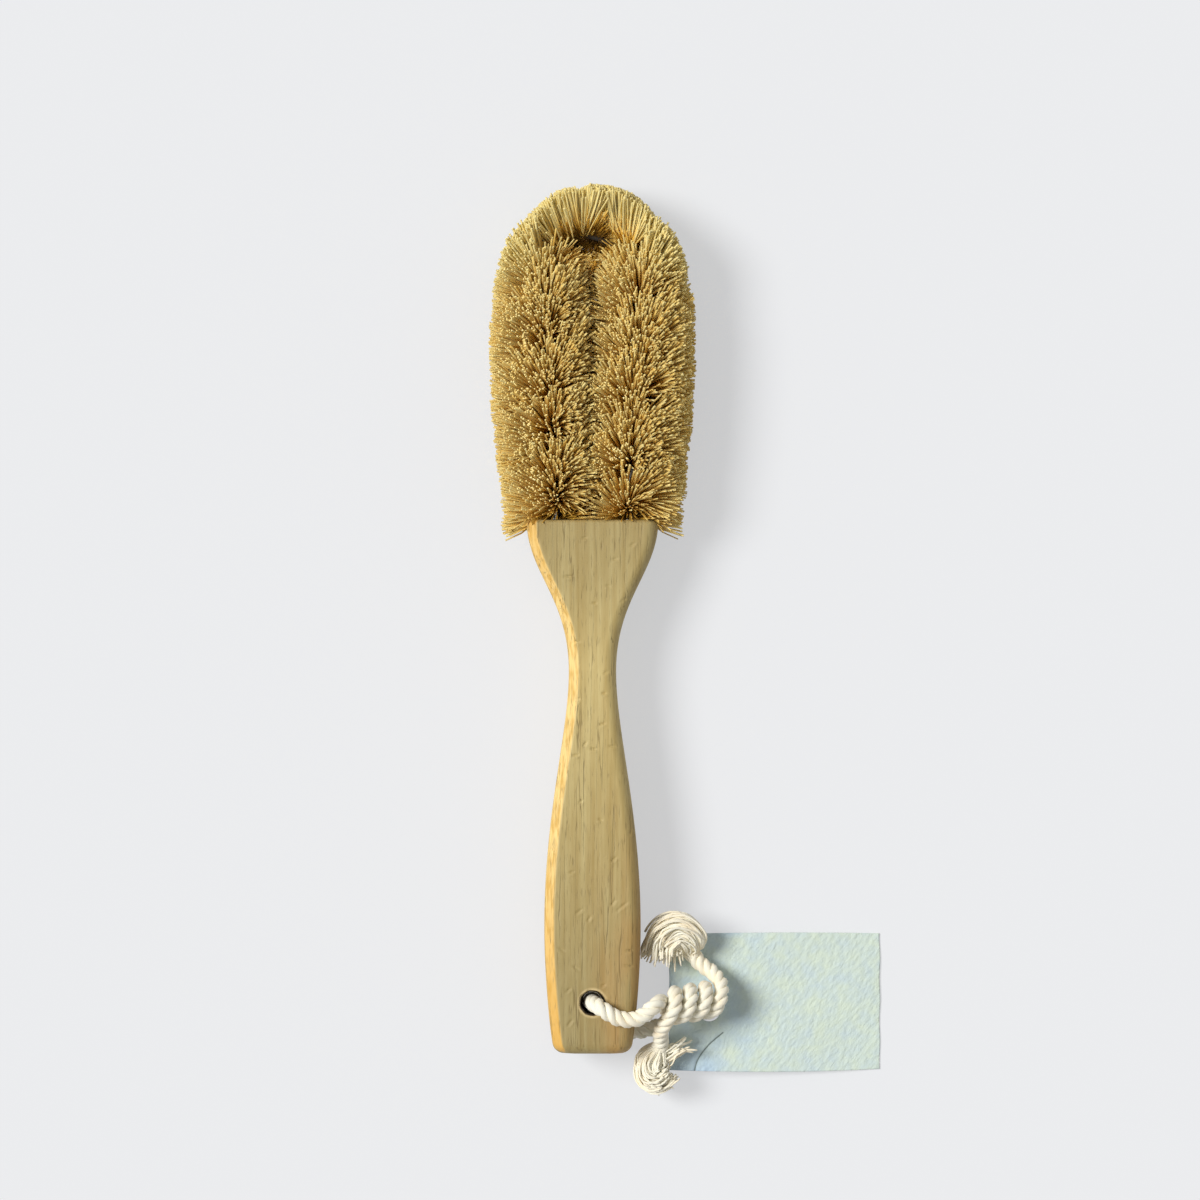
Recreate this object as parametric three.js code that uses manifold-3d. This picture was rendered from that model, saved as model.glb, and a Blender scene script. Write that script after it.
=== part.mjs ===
// Dish brush: a twisted-wire coir brush bent to a loop, set in a flat wooden handle,
// with a knotted cotton hanging cord and a bare paper swing tag.
// Millimetres. The brush lies level: +X to its right, +Y from the handle to the bristle tip,
// +Z up. The origin is under the middle of the brush, on the surface it lies on.

import * as THREE from 'three';
import { mergeVertices } from 'three/addons/utils/BufferGeometryUtils.js';
import Module from 'manifold-3d';

// Handle, cut from board: widths, and how far below its top end each one lies.
const HANDLE_LENGTH = 160;
const HANDLE_THICKNESS = 16;
const SHOULDER_WIDTH = 39.5;
const NECK_WIDTH = 14.2;
const NECK_DISTANCE = 45.4;
const GRIP_WIDTH = 28.9;
const GRIP_DISTANCE = 122;
const BUTT_WIDTH = 22.8;
const EDGE_ROUND = 3;
const TOP_ROUND = 1.2;
const BUTT_ROUND = 3;

// How far each stretch of the handle's side runs on before it starts to turn.
const SHOULDER_RUN = 15.8;
const NECK_RUN_UP = 22.3;
const NECK_RUN_DOWN = 18.7;
const GRIP_RUN_UP = 34.7;
const GRIP_RUN_DOWN = 14.8;
const BUTT_RUN = 5;
const BUTT_FLARE = 1.25;

// Hole for the hanging cord.
const CORD_HOLE_DIAMETER = 7.3;
const CORD_HOLE_FROM_BUTT = 15.3;
const CORD_HOLE_CHAMFER = 0.5;

// Core: two twisted wires, bent to a loop whose legs stand in two drilled sockets.
const WIRE_DIAMETER = 1.8;
const TWIST_PITCH = 31;
const LEG_SPACING = 21;
const BEND_RADIUS = 14.2;
const LOOP_LENGTH = 84.1;
const LEG_RUN = 24;
const SOCKET_DEPTH = 14;
const DRILL_POINT_ANGLE = 118;
const WIRE_END_GAP = 1;

// Coir: fibres pinched between the wires, fanning out on both sides of a packed ribbon.
const COIR_REACH = 17;
const COIR_REACH_AT_HANDLE = 16;
const REACH_SCATTER = 1;
const RIBBON_THICKNESS = 0.8;
const RIBBON_WIDTH = 5.6;
const FAN_SPLAY = 52;
const STRAND_TIP_WIDTH = 1.1;
const STRAND_TIP_SHARE = 0.7;
const LEG_STATIONS = 78;
const BEND_STATIONS = 54;
const LEG_GAP = 1.4;
const BEND_HOLLOW = 5;
const COIR_TO_HANDLE = 0.8;
const FLOOR_CUT = 0.5;

// Even sequences that scatter the fibres' angles and lengths.
const SPLAY_SEQUENCE = 0.618034;
const REACH_SEQUENCE = 0.754878;

// Hanging cord, its half knot and the two frayed ends.
const CORD_DIAMETER = 4.2;
const CORD_SIDES = 8;
const CORD_STEPS = 84;
const CORD_FLAT_SHARE = 0.1;
const GAP_SPACING = 0.5;
const NEXT_STRETCH = 7.5;
const KNOT_RADIUS = 3.85;
const KNOT_PITCH = 10.5;
const KNOT_TURNS = 1.5;
const KNOT_POINTS = 9;
const KNOT_HEADING = 8;
const KNOT_DIP = 28;
const FRAY_SIDES = 10;
const FRAY_RINGS = 10;
const FRAY_LEAD = 1.8;

// Paper swing tag, threaded on the cord.
const TAG_LENGTH = 64;
const TAG_HEIGHT = 41;
const TAG_THICKNESS = 0.6;
const TAG_HOLE_DIAMETER = 6.6;
const TAG_HOLE_FROM_END = 12.2;
const TAG_HOLE_BELOW_MIDDLE = 2.6;
const TAG_HOLE_HEIGHT = 4.8;
const TAG_BOW = 0.7;

// Clearance left between pieces that touch.
const CLEARANCE = 0.3;

// How far cutters stand out of what they cut.
const CUT_OVER = 1;

// Facets.
const EDGE_STEPS = 3;
const SIDE_STEPS = 11;
const SIDE_SAMPLES = 66;
const ROUND_SIDES = 24;
const WIRE_SIDES = 6;
const WIRE_STEPS_PER_TURN = 12;

// Places worked out from the sizes above.
const BRUSH_LENGTH = HANDLE_LENGTH + LOOP_LENGTH + COIR_REACH;
const BUTT_Y = -BRUSH_LENGTH / 2;
const HANDLE_TOP_Y = BUTT_Y + HANDLE_LENGTH;
const BEND_Y = HANDLE_TOP_Y + LOOP_LENGTH - BEND_RADIUS;
const AXIS_Z = COIR_REACH - FLOOR_CUT;
const FRONT_Z = AXIS_Z + HANDLE_THICKNESS / 2;
const BACK_Z = AXIS_Z - HANDLE_THICKNESS / 2;
const CORD_HOLE_Y = BUTT_Y + CORD_HOLE_FROM_BUTT;
const WIRE_OFFSET = WIRE_DIAMETER / 2 + RIBBON_THICKNESS / 2 + CLEARANCE;
const SOCKET_RADIUS = WIRE_OFFSET + WIRE_DIAMETER / 2 + CLEARANCE;
const CORD_RADIUS = CORD_DIAMETER / 2;

const degrees = THREE.MathUtils.degToRad;
const wasm = await Module();
wasm.setup();

// A closed body from flat lists of corners and triangles.
function body(corners, triangles) {
  const geometry = new THREE.BufferGeometry();
  geometry.setAttribute('position', new THREE.Float32BufferAttribute(corners, 3));
  geometry.setIndex(triangles);
  return geometry;
}

// A body through rings of equal count, with flat ends. Rings turn anticlockwise about the way they run.
function loft(rings) {
  const count = rings[0].length;
  const corners = rings.flat().flatMap((corner) => corner.toArray());
  const triangles = [];
  for (let ring = 0; ring + 1 < rings.length; ring += 1) {
    for (let side = 0; side < count; side += 1) {
      const a = ring * count + side;
      const b = ring * count + ((side + 1) % count);
      triangles.push(a, b, b + count, a, b + count, a + count);
    }
  }
  const last = (rings.length - 1) * count;
  for (let side = 1; side + 1 < count; side += 1) {
    triangles.push(0, side + 1, side, last, last + side, last + side + 1);
  }
  return body(corners, triangles);
}

function toSolid(geometry) {
  const bare = geometry.clone();
  bare.deleteAttribute('normal');
  bare.deleteAttribute('uv');
  const merged = mergeVertices(bare, 1e-4);
  return new wasm.Manifold(new wasm.Mesh({
    numProp: 3,
    vertProperties: new Float32Array(merged.attributes.position.array),
    triVerts: new Uint32Array(merged.index.array),
  }));
}

function fromSolid(solid) {
  const mesh = solid.getMesh();
  return body(Array.from(mesh.vertProperties), Array.from(mesh.triVerts));
}

// Half the handle's width at a height along it, read off its side curve.
function handleSide() {
  const neckY = HANDLE_TOP_Y - NECK_DISTANCE;
  const gripY = HANDLE_TOP_Y - GRIP_DISTANCE;
  const shoulder = SHOULDER_WIDTH / 2;
  const neck = NECK_WIDTH / 2;
  const grip = GRIP_WIDTH / 2;
  const butt = BUTT_WIDTH / 2;
  const side = new THREE.Path();
  side.moveTo(shoulder, HANDLE_TOP_Y);
  side.bezierCurveTo(shoulder, HANDLE_TOP_Y - SHOULDER_RUN, neck, neckY + NECK_RUN_UP, neck, neckY);
  side.bezierCurveTo(neck, neckY - NECK_RUN_DOWN, grip, gripY + GRIP_RUN_UP, grip, gripY);
  side.bezierCurveTo(grip, gripY - GRIP_RUN_DOWN, butt + BUTT_FLARE, BUTT_Y + BUTT_RUN, butt, BUTT_Y);
  return side;
}

function halfWidthAt(points, y) {
  const next = Math.max(1, points.findIndex((point) => point.y <= y));
  const above = points[next - 1];
  const below = points[next];
  const share = (above.y - y) / (above.y - below.y);
  return THREE.MathUtils.lerp(above.x, below.x, share);
}

// One section across the handle: a flat bar with its four long edges rounded over.
function handleSection(y, halfWidth, inset) {
  const corner = EDGE_ROUND;
  const flatX = halfWidth - inset - corner;
  const flatZ = HANDLE_THICKNESS / 2 - inset - corner;
  const ring = [];
  for (let quarter = 0; quarter < 4; quarter += 1) {
    const signX = quarter === 0 || quarter === 3 ? 1 : -1;
    const signZ = quarter < 2 ? 1 : -1;
    for (let step = 0; step <= EDGE_STEPS; step += 1) {
      const angle = ((quarter + step / EDGE_STEPS) * Math.PI) / 2;
      const x = signX * flatX + corner * Math.cos(angle);
      const z = signZ * flatZ + corner * Math.sin(angle);
      ring.push(new THREE.Vector3(x, y, AXIS_Z + z));
    }
  }
  return ring;
}

function handleBlank() {
  const side = handleSide();
  const fine = side.getPoints(SIDE_SAMPLES);
  const stations = [];
  for (let step = 0; step <= EDGE_STEPS; step += 1) {
    const angle = (step / EDGE_STEPS) * (Math.PI / 2);
    const down = 1 - Math.cos(angle);
    const inward = 1 - Math.sin(angle);
    stations.push({ y: HANDLE_TOP_Y - TOP_ROUND * down, inset: TOP_ROUND * inward });
    stations.push({ y: BUTT_Y + BUTT_ROUND * down, inset: BUTT_ROUND * inward });
  }
  const highest = HANDLE_TOP_Y - TOP_ROUND * 2;
  const lowest = BUTT_Y + BUTT_ROUND * 1.5;
  for (const { y } of side.getPoints(SIDE_STEPS)) {
    if (y < highest && y > lowest) {
      stations.push({ y, inset: 0 });
    }
  }
  stations.sort((one, other) => other.y - one.y);
  return loft(stations.map(({ y, inset }) => handleSection(y, halfWidthAt(fine, y), inset)));
}

// A drilled socket for one leg, from above the top end down to the drill's point.
function socketCutter(x) {
  const pointDepth = SOCKET_RADIUS / Math.tan(degrees(DRILL_POINT_ANGLE / 2));
  const profile = [
    new THREE.Vector2(0, -SOCKET_DEPTH - pointDepth),
    new THREE.Vector2(SOCKET_RADIUS, -SOCKET_DEPTH),
    new THREE.Vector2(SOCKET_RADIUS, CUT_OVER),
    new THREE.Vector2(0, CUT_OVER),
  ];
  const cutter = new THREE.LatheGeometry(profile, ROUND_SIDES);
  return cutter.translate(x, HANDLE_TOP_Y, AXIS_Z);
}

// The cord hole, with its rims eased on both faces.
function cordHoleCutter() {
  const radius = CORD_HOLE_DIAMETER / 2;
  const half = HANDLE_THICKNESS / 2;
  const rim = radius + CORD_HOLE_CHAMFER;
  const profile = [
    new THREE.Vector2(0, -half - CUT_OVER),
    new THREE.Vector2(rim + CUT_OVER, -half - CUT_OVER),
    new THREE.Vector2(rim, -half),
    new THREE.Vector2(radius, -half + CORD_HOLE_CHAMFER),
    new THREE.Vector2(radius, half - CORD_HOLE_CHAMFER),
    new THREE.Vector2(rim, half),
    new THREE.Vector2(rim + CUT_OVER, half + CUT_OVER),
    new THREE.Vector2(0, half + CUT_OVER),
  ];
  const cutter = new THREE.LatheGeometry(profile, ROUND_SIDES);
  return cutter.rotateX(Math.PI / 2).translate(0, CORD_HOLE_Y, AXIS_Z);
}

function handle() {
  const legX = LEG_SPACING / 2;
  const solid = toSolid(handleBlank())
    .subtract(toSolid(socketCutter(-legX)))
    .subtract(toSolid(socketCutter(legX)))
    .subtract(toSolid(cordHoleCutter()));
  return fromSolid(solid);
}

// The loop's centre line, flat at the height of the axis, from one socket round to the other.
function coreLine() {
  const legX = LEG_SPACING / 2;
  const endY = HANDLE_TOP_Y - SOCKET_DEPTH + WIRE_END_GAP;
  const line = new THREE.Path();
  line.moveTo(-legX, endY);
  line.lineTo(-legX, HANDLE_TOP_Y);
  line.bezierCurveTo(-legX, HANDLE_TOP_Y + LEG_RUN, -BEND_RADIUS, BEND_Y - LEG_RUN, -BEND_RADIUS, BEND_Y);
  line.absarc(0, BEND_Y, BEND_RADIUS, Math.PI, 0, true);
  line.bezierCurveTo(BEND_RADIUS, BEND_Y - LEG_RUN, legX, HANDLE_TOP_Y + LEG_RUN, legX, HANDLE_TOP_Y);
  line.lineTo(legX, endY);
  return line;
}

const core = coreLine();
const coreLength = core.getLength();
const [socketRun, legRun, bendRun] = core.curves.map((stretch) => stretch.getLength());

// A place near the core: so far along it, so far out at an angle from the loop's outer side,
// and so far across.
function nearCore(along, out, angle, across = 0) {
  const share = along / coreLength;
  const centre = core.getPoint(share);
  const heading = core.getTangent(share);
  const flat = out * Math.cos(angle) - across * Math.sin(angle);
  const up = out * Math.sin(angle) + across * Math.cos(angle);
  return new THREE.Vector3(centre.x - heading.y * flat, centre.y + heading.x * flat, AXIS_Z + up);
}

const twistAt = (along) => (along / TWIST_PITCH) * Math.PI * 2;

class TwistedWire extends THREE.Curve {
  constructor(phase) {
    super();
    this.phase = phase;
  }

  getPoint(share) {
    const along = share * coreLength;
    return nearCore(along, WIRE_OFFSET, twistAt(along) + this.phase);
  }
}

// A round section with a given number of flats.
function roundSection(radius, sides) {
  const corners = [];
  for (let side = 0; side < sides; side += 1) {
    const angle = (side / sides) * Math.PI * 2;
    corners.push(new THREE.Vector2(radius * Math.cos(angle), radius * Math.sin(angle)));
  }
  return new THREE.Shape(corners);
}

function coreWire(phase) {
  const steps = Math.round((coreLength / TWIST_PITCH) * WIRE_STEPS_PER_TURN);
  const section = roundSection(WIRE_DIAMETER / 2, WIRE_SIDES);
  const extrudePath = new TwistedWire(phase);
  return new THREE.ExtrudeGeometry(section, { steps, extrudePath, bevelEnabled: false });
}

// How far a fibre may reach: the trimmed outline, its neighbour leg, and the crowded inside of the bend.
function fibreReach(along, angle, scatter) {
  const intoLoop = -Math.cos(angle);
  const legShare = Math.min(along - socketRun, coreLength - along - socketRun) / legRun;
  const alongLeg = THREE.MathUtils.clamp(legShare, 0, 1);
  const trimmed = THREE.MathUtils.lerp(COIR_REACH_AT_HANDLE, COIR_REACH, alongLeg);
  const legX = Math.abs(core.getPoint(along / coreLength).x);
  const room = legShare > 1 ? BEND_RADIUS - BEND_HOLLOW : legX - LEG_GAP / 2;
  const reach = trimmed - REACH_SCATTER * scatter;
  return intoLoop > 0 ? Math.min(reach, room / intoLoop) : reach;
}

// Moves a fibre's cut end back along the fibre to the surface the brush lies on.
function trimAtFloor(root, tip) {
  return tip.z < 0 ? root.clone().lerp(tip, root.z / (root.z - tip.z)) : tip;
}

// A stretch of packed coir: a twisted ribbon with one fibre of four sides drawn out of each piece
// of its edges. Each fibre stays between the two cross-planes of its own piece, so that no two
// meet beyond their roots.
function coir(start, end, stations, seed) {
  const corners = [];
  const triangles = [];
  const step = (end - start) / stations;
  const addQuad = (a, b, c, d) => triangles.push(a, b, c, a, c, d);
  const add = (place) => corners.push(...place.toArray()) / 3 - 1;
  const rows = [];
  for (let station = 0; station <= stations; station += 1) {
    const along = start + station * step;
    const angle = twistAt(along);
    const half = RIBBON_THICKNESS / 2;
    const row = [angle, angle + Math.PI].map((side) => [-half, half].map((across) => {
      const place = nearCore(along, RIBBON_WIDTH / 2, side, across);
      return { place, index: add(place) };
    }));
    rows.push(row);
  }
  for (let station = 0; station < stations; station += 1) {
    const here = rows[station];
    const next = rows[station + 1];
    addQuad(here[0][1].index, here[1][0].index, next[1][0].index, next[0][1].index);
    addQuad(here[1][1].index, here[0][0].index, next[0][0].index, next[1][1].index);
    for (let side = 0; side < 2; side += 1) {
      const count = seed + station * 2 + side;
      const splay = degrees(FAN_SPLAY) * (2 * ((count * SPLAY_SEQUENCE) % 1) - 1);
      const middle = start + (station + 0.5) * step;
      const angle = twistAt(middle) + side * Math.PI + splay;
      const reach = fibreReach(middle, angle, (count * REACH_SEQUENCE) % 1);
      const root = [here[side][0], next[side][0], next[side][1], here[side][1]];
      const tip = [[-1, -1], [1, -1], [1, 1], [-1, 1]].map(([forward, across], corner) => {
        const along = middle + (forward * step * STRAND_TIP_SHARE) / 2;
        const place = nearCore(along, reach, angle, (across * STRAND_TIP_WIDTH) / 2);
        return add(trimAtFloor(root[corner].place, place));
      });
      for (let edge = 0; edge < 4; edge += 1) {
        const after = (edge + 1) % 4;
        addQuad(root[after].index, root[edge].index, tip[edge], tip[after]);
      }
      addQuad(tip[3], tip[2], tip[1], tip[0]);
    }
  }
  const first = rows[0];
  const last = rows[stations];
  addQuad(first[1][1].index, first[1][0].index, first[0][1].index, first[0][0].index);
  addQuad(last[1][0].index, last[1][1].index, last[0][0].index, last[0][1].index);
  return body(corners, triangles);
}

// The cord's places are given from the middle of the cord hole, as it lies beside the handle.
const fromHole = (x, y, z) => new THREE.Vector3(x, CORD_HOLE_Y + y, z);
const LYING_Z = CORD_RADIUS - CORD_FLAT_SHARE * CORD_DIAMETER;
const OVER_Z = FRONT_Z + CLEARANCE + CORD_RADIUS;
const KNOT_CENTRE = fromHole(29.8, -0.2, 17);
const TAG_HOLE = fromHole(35.2, -3.2, TAG_HOLE_HEIGHT);

// One strand of the half knot: the two cords wind round each other along a dipping axis.
function knotStrand(phase) {
  const heading = degrees(KNOT_HEADING);
  const dip = degrees(KNOT_DIP);
  const axis = new THREE.Vector3(Math.cos(dip), 0, -Math.sin(dip));
  axis.applyAxisAngle(new THREE.Vector3(0, 0, 1), heading);
  const aside = new THREE.Vector3(-Math.sin(heading), Math.cos(heading), 0);
  const up = new THREE.Vector3().crossVectors(axis, aside);
  const strand = [];
  for (let point = 0; point < KNOT_POINTS; point += 1) {
    const turn = (0.5 - point / (KNOT_POINTS - 1)) * KNOT_TURNS;
    const angle = phase - turn * Math.PI * 2;
    strand.push(KNOT_CENTRE.clone()
      .addScaledVector(axis, turn * KNOT_PITCH)
      .addScaledVector(aside, KNOT_RADIUS * Math.cos(angle))
      .addScaledVector(up, KNOT_RADIUS * Math.sin(angle)));
  }
  return strand;
}

// From the upper tail through the knot, over the handle, down its hole, back along the floor,
// up through the tag, through the knot again and out to the lower tail.
const cordRoute = [
  fromHole(29.8, 14.6, 9.2),
  fromHole(32.4, 11.2, 9.4),
  fromHole(36, 8.6, 10.4),
  fromHole(38.6, 5.3, 13.6),
  ...knotStrand(0).slice(0, -1),
  fromHole(21.4, -1.2, 18.4),
  fromHole(20.5, 0.4, 21.8),
  fromHole(18.9, -0.6, 26.8),
  fromHole(13.2, -4.6, OVER_Z),
  fromHole(7.6, -4.4, OVER_Z),
  fromHole(2.4, -1.3, OVER_Z),
  fromHole(0, 0, FRONT_Z - 3),
  fromHole(0, 0, BACK_Z + 2),
  fromHole(1.6, -1.8, BACK_Z - 3.6),
  fromHole(5.4, -5.8, LYING_Z + 0.5),
  fromHole(11, -9.4, LYING_Z + 0.1),
  fromHole(17, -9, LYING_Z),
  fromHole(25, -6, LYING_Z + 0.1),
  fromHole(31.8, -4, LYING_Z + 0.5),
  fromHole(35.2, -3.4, LYING_Z + 2.8),
  fromHole(35.6, -3, LYING_Z + 6),
  ...knotStrand(Math.PI),
  fromHole(22.4, -5.3, 22.9),
  fromHole(20.4, -9, 18.2),
  fromHole(20.6, -12.2, 13.6),
  fromHole(19.6, -15.2, 11.4),
];
const cordCurve = new THREE.CatmullRomCurve3(cordRoute);

// The least gap between stretches of the cord that lie near each other in the knot.
function leastCordGap() {
  const count = Math.round(cordCurve.getLength() / GAP_SPACING);
  const places = cordCurve.getSpacedPoints(count);
  const apart = Math.round(NEXT_STRETCH / GAP_SPACING);
  let least = Infinity;
  for (let one = 0; one < places.length; one += 1) {
    for (let other = one + apart; other < places.length; other += 1) {
      least = Math.min(least, places[one].distanceTo(places[other]) - CORD_DIAMETER);
    }
  }
  return least;
}

// The cord is pressed flat where it lies on the floor.
function hangingCord() {
  const section = roundSection(CORD_RADIUS, CORD_SIDES);
  const path = { steps: CORD_STEPS, extrudePath: cordCurve, bevelEnabled: false };
  const tube = new THREE.ExtrudeGeometry(section, path);
  const floor = new THREE.BoxGeometry(BRUSH_LENGTH, BRUSH_LENGTH, CORD_DIAMETER);
  floor.translate(0, CORD_HOLE_Y, -CORD_DIAMETER / 2);
  return fromSolid(toSolid(tube).subtract(toSolid(floor)));
}

// A frayed end: a mop of loose yarns that swells from one end of the cord and bends over.
function frayedEnd(end, places, girths) {
  const tip = cordCurve.getPointAt(end);
  const out = cordCurve.getTangentAt(end).multiplyScalar(end === 0 ? -1 : 1);
  const start = [CLEARANCE, FRAY_LEAD].map((distance) => tip.clone().addScaledVector(out, distance));
  const curve = new THREE.CatmullRomCurve3([...start, ...places]);
  const frames = curve.computeFrenetFrames(FRAY_RINGS, false);
  const rings = [];
  for (let ring = 0; ring <= FRAY_RINGS; ring += 1) {
    const share = ring / FRAY_RINGS;
    const centre = curve.getPointAt(share);
    const span = share * (girths.length - 1);
    const before = Math.min(Math.floor(span), girths.length - 2);
    const radius = THREE.MathUtils.lerp(girths[before], girths[before + 1], span - before) / 2;
    const corners = roundSection(radius, FRAY_SIDES).getPoints().slice(0, FRAY_SIDES);
    rings.push(corners.map(({ x, y }) => centre.clone()
      .addScaledVector(frames.normals[ring], x)
      .addScaledVector(frames.binormals[ring], y)));
  }
  return loft(rings);
}

const UPPER_FRAY = [
  fromHole(28.6, 19, 11.6),
  fromHole(24.6, 21.8, 12.2),
  fromHole(20.2, 18, 11.8),
  fromHole(19.4, 12.6, 11),
];
const UPPER_FRAY_GIRTHS = [4.2, 7, 8.4, 8.4, 8.2, 6.4];
const LOWER_FRAY = [
  fromHole(18, -19.6, 11.4),
  fromHole(18, -22.4, 11.6),
  fromHole(20.4, -24.6, 11.2),
];
const LOWER_FRAY_GIRTHS = [4.2, 7.6, 8.8, 6.4];

// The tag leans from the cord under its punched end down to the floor at its far end.
function swingTag() {
  const left = -TAG_HOLE_FROM_END;
  const right = left + TAG_LENGTH;
  const bottom = TAG_HOLE_BELOW_MIDDLE - TAG_HEIGHT / 2;
  const top = bottom + TAG_HEIGHT;
  const middle = (left + right) / 2;
  const sheet = new THREE.Shape();
  sheet.moveTo(left, bottom);
  sheet.quadraticCurveTo(middle, bottom - TAG_BOW * 2, right, bottom);
  sheet.lineTo(right, top);
  sheet.quadraticCurveTo(middle, top + TAG_BOW, left, top);
  sheet.closePath();
  sheet.holes.push(new THREE.Path().absarc(0, 0, TAG_HOLE_DIAMETER / 2, 0, Math.PI * 2, true));
  return new THREE.ExtrudeGeometry(sheet, { depth: TAG_THICKNESS, bevelEnabled: false, curveSegments: 8 });
}

function paint(color, roughness, metalness = 0) {
  return new THREE.MeshStandardMaterial({ color, roughness, metalness });
}

const brush = new THREE.Group();

function place(name, geometry, material) {
  const mesh = new THREE.Mesh(geometry, material);
  mesh.name = name;
  brush.add(mesh);
  return mesh;
}

const WOOD = paint('#c6aa68', 0.62);
const WIRE = paint('#9a9b98', 0.42, 1);
const COIR = paint('#bd9448', 0.85);
const COTTON = paint('#efe6d0', 0.95);
const PAPER = paint('#d9e6dd', 0.9);

const coirStart = socketRun + COIR_TO_HANDLE;
const bendStart = socketRun + legRun;
const bendEnd = bendStart + bendRun;

place('handle', handle(), WOOD);
place('core_wire_a', coreWire(Math.PI / 2), WIRE);
place('core_wire_b', coreWire(-Math.PI / 2), WIRE);
place('coir_left_leg', coir(coirStart, bendStart - CLEARANCE / 2, LEG_STATIONS, 0), COIR);
place('coir_bend', coir(bendStart + CLEARANCE / 2, bendEnd - CLEARANCE / 2, BEND_STATIONS, 500), COIR);
place('coir_right_leg', coir(bendEnd + CLEARANCE / 2, coreLength - coirStart, LEG_STATIONS, 1000), COIR);
place('hanging_cord', hangingCord(), COTTON);
place('frayed_end_upper', frayedEnd(0, UPPER_FRAY, UPPER_FRAY_GIRTHS), COTTON);
place('frayed_end_lower', frayedEnd(1, LOWER_FRAY, LOWER_FRAY_GIRTHS), COTTON);
const tag = place('swing_tag', swingTag(), PAPER);
tag.position.copy(TAG_HOLE);
tag.rotation.y = Math.asin(TAG_HOLE_HEIGHT / (TAG_LENGTH - TAG_HOLE_FROM_END));

console.log(`cord length ${cordCurve.getLength().toFixed(1)} mm`);
console.log(`least gap of the cord to itself ${leastCordGap().toFixed(2)} mm`);

export default brush;
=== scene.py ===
# %% [markdown]
# # A coir dish brush
#
# The brush is a bottle brush bent to a loop and set in a flat wooden handle. A cotton cord with a paper
# tag is knotted through the handle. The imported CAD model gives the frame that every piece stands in, and
# this lesson gives each piece the form and finish of the real one.

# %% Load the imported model
import functools
import math

import bmesh
import bpy
import numpy as np
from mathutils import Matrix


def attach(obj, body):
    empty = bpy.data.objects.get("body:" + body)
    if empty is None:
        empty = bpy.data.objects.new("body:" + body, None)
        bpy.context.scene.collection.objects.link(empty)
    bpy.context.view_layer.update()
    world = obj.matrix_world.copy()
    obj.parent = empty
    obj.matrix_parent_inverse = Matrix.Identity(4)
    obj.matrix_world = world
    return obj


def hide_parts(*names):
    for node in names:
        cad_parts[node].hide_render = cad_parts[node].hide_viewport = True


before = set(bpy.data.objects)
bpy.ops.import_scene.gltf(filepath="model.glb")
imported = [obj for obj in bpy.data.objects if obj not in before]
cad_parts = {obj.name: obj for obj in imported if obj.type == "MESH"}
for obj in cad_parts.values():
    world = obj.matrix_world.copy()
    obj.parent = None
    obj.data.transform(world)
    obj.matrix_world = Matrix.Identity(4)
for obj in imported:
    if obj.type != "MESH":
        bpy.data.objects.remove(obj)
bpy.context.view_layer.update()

MM = 0.001

# %% [markdown]
# ## Camera
#
# The photograph looks straight down. At the height of the brush's middle it shows 360 mm across the whole
# frame, so the lens follows from the camera's distance. An orthographic camera would do as well, but a
# lens is what took the picture. It stands well back, so that what lies low on the table keeps its place
# beside what stands higher.

# %% Camera
PICTURE_WIDTH = 360 * MM
CAMERA_DISTANCE = 2400 * MM
BRUSH_MIDDLE_Z = 19 * MM
PICTURE_CENTRE = (2.25 * MM, 5.4 * MM)
camera_data = bpy.data.cameras.new("photo_camera")
camera_data.lens = camera_data.sensor_width * CAMERA_DISTANCE / PICTURE_WIDTH
camera_data.clip_start = 10 * MM
camera = bpy.data.objects.new("photo_camera", camera_data)
camera.location = (*PICTURE_CENTRE, BRUSH_MIDDLE_Z + CAMERA_DISTANCE)
bpy.context.collection.objects.link(camera)
bpy.context.scene.camera = camera
print("lens", round(camera_data.lens, 1), "mm")

# %% [markdown]
# ## Helpers for nodes and colours
#
# Geometry Nodes and materials are both node trees. They can be drawn by hand in the node editor, but a
# script can be read and run again. One small function adds a node, sets it up, links it and gives back
# its output, so that each tree reads from top to bottom. Inputs are given in the order that the node
# shows them, or by name. Colours are written as sRGB hex values, as a paint chart gives them, and turned
# to the linear values that Blender mixes.

# %% Colours and pattern sizes
def colour(code):
    """An sRGB hex colour, or a plain linear grey, as linear red, green, blue and alpha."""
    if not isinstance(code, str):
        return [code, code, code, 1.0]
    parts = [int(code[i:i + 2], 16) / 255 for i in (1, 3, 5)]
    return [c / 12.92 if c <= 0.04045 else ((c + 0.055) / 1.055) ** 2.4 for c in parts] + [1.0]


def per_mm(size):
    """The scale of a pattern whose grain is so many millimetres wide, on coordinates in metres."""
    return 1 / (size * MM)


print("middle grey #808080 is", round(colour("#808080")[0], 3), "in linear light")

# %% Nodes and materials
MATH, VECTOR, RANGE = "ShaderNodeMath", "ShaderNodeVectorMath", "ShaderNodeMapRange"
NOISE, RAMP, MIX = "ShaderNodeTexNoise", "ShaderNodeValToRGB", "ShaderNodeMix"
JOIN_XYZ, PART_XYZ, MAPPING = "ShaderNodeCombineXYZ", "ShaderNodeSeparateXYZ", "ShaderNodeMapping"


def fill(node, inputs):
    """Sets a node's inputs, in order or by name, to values or to other nodes' outputs."""
    shown = [socket for socket in node.inputs if socket.enabled]
    pairs = inputs.items() if isinstance(inputs, dict) else enumerate(inputs)
    for key, value in pairs:
        socket = shown[key] if isinstance(key, int) else next(s for s in shown if s.name == key)
        if isinstance(value, bpy.types.NodeSocket):
            node.id_data.links.new(value, socket)
        else:
            socket.default_value = value


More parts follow.
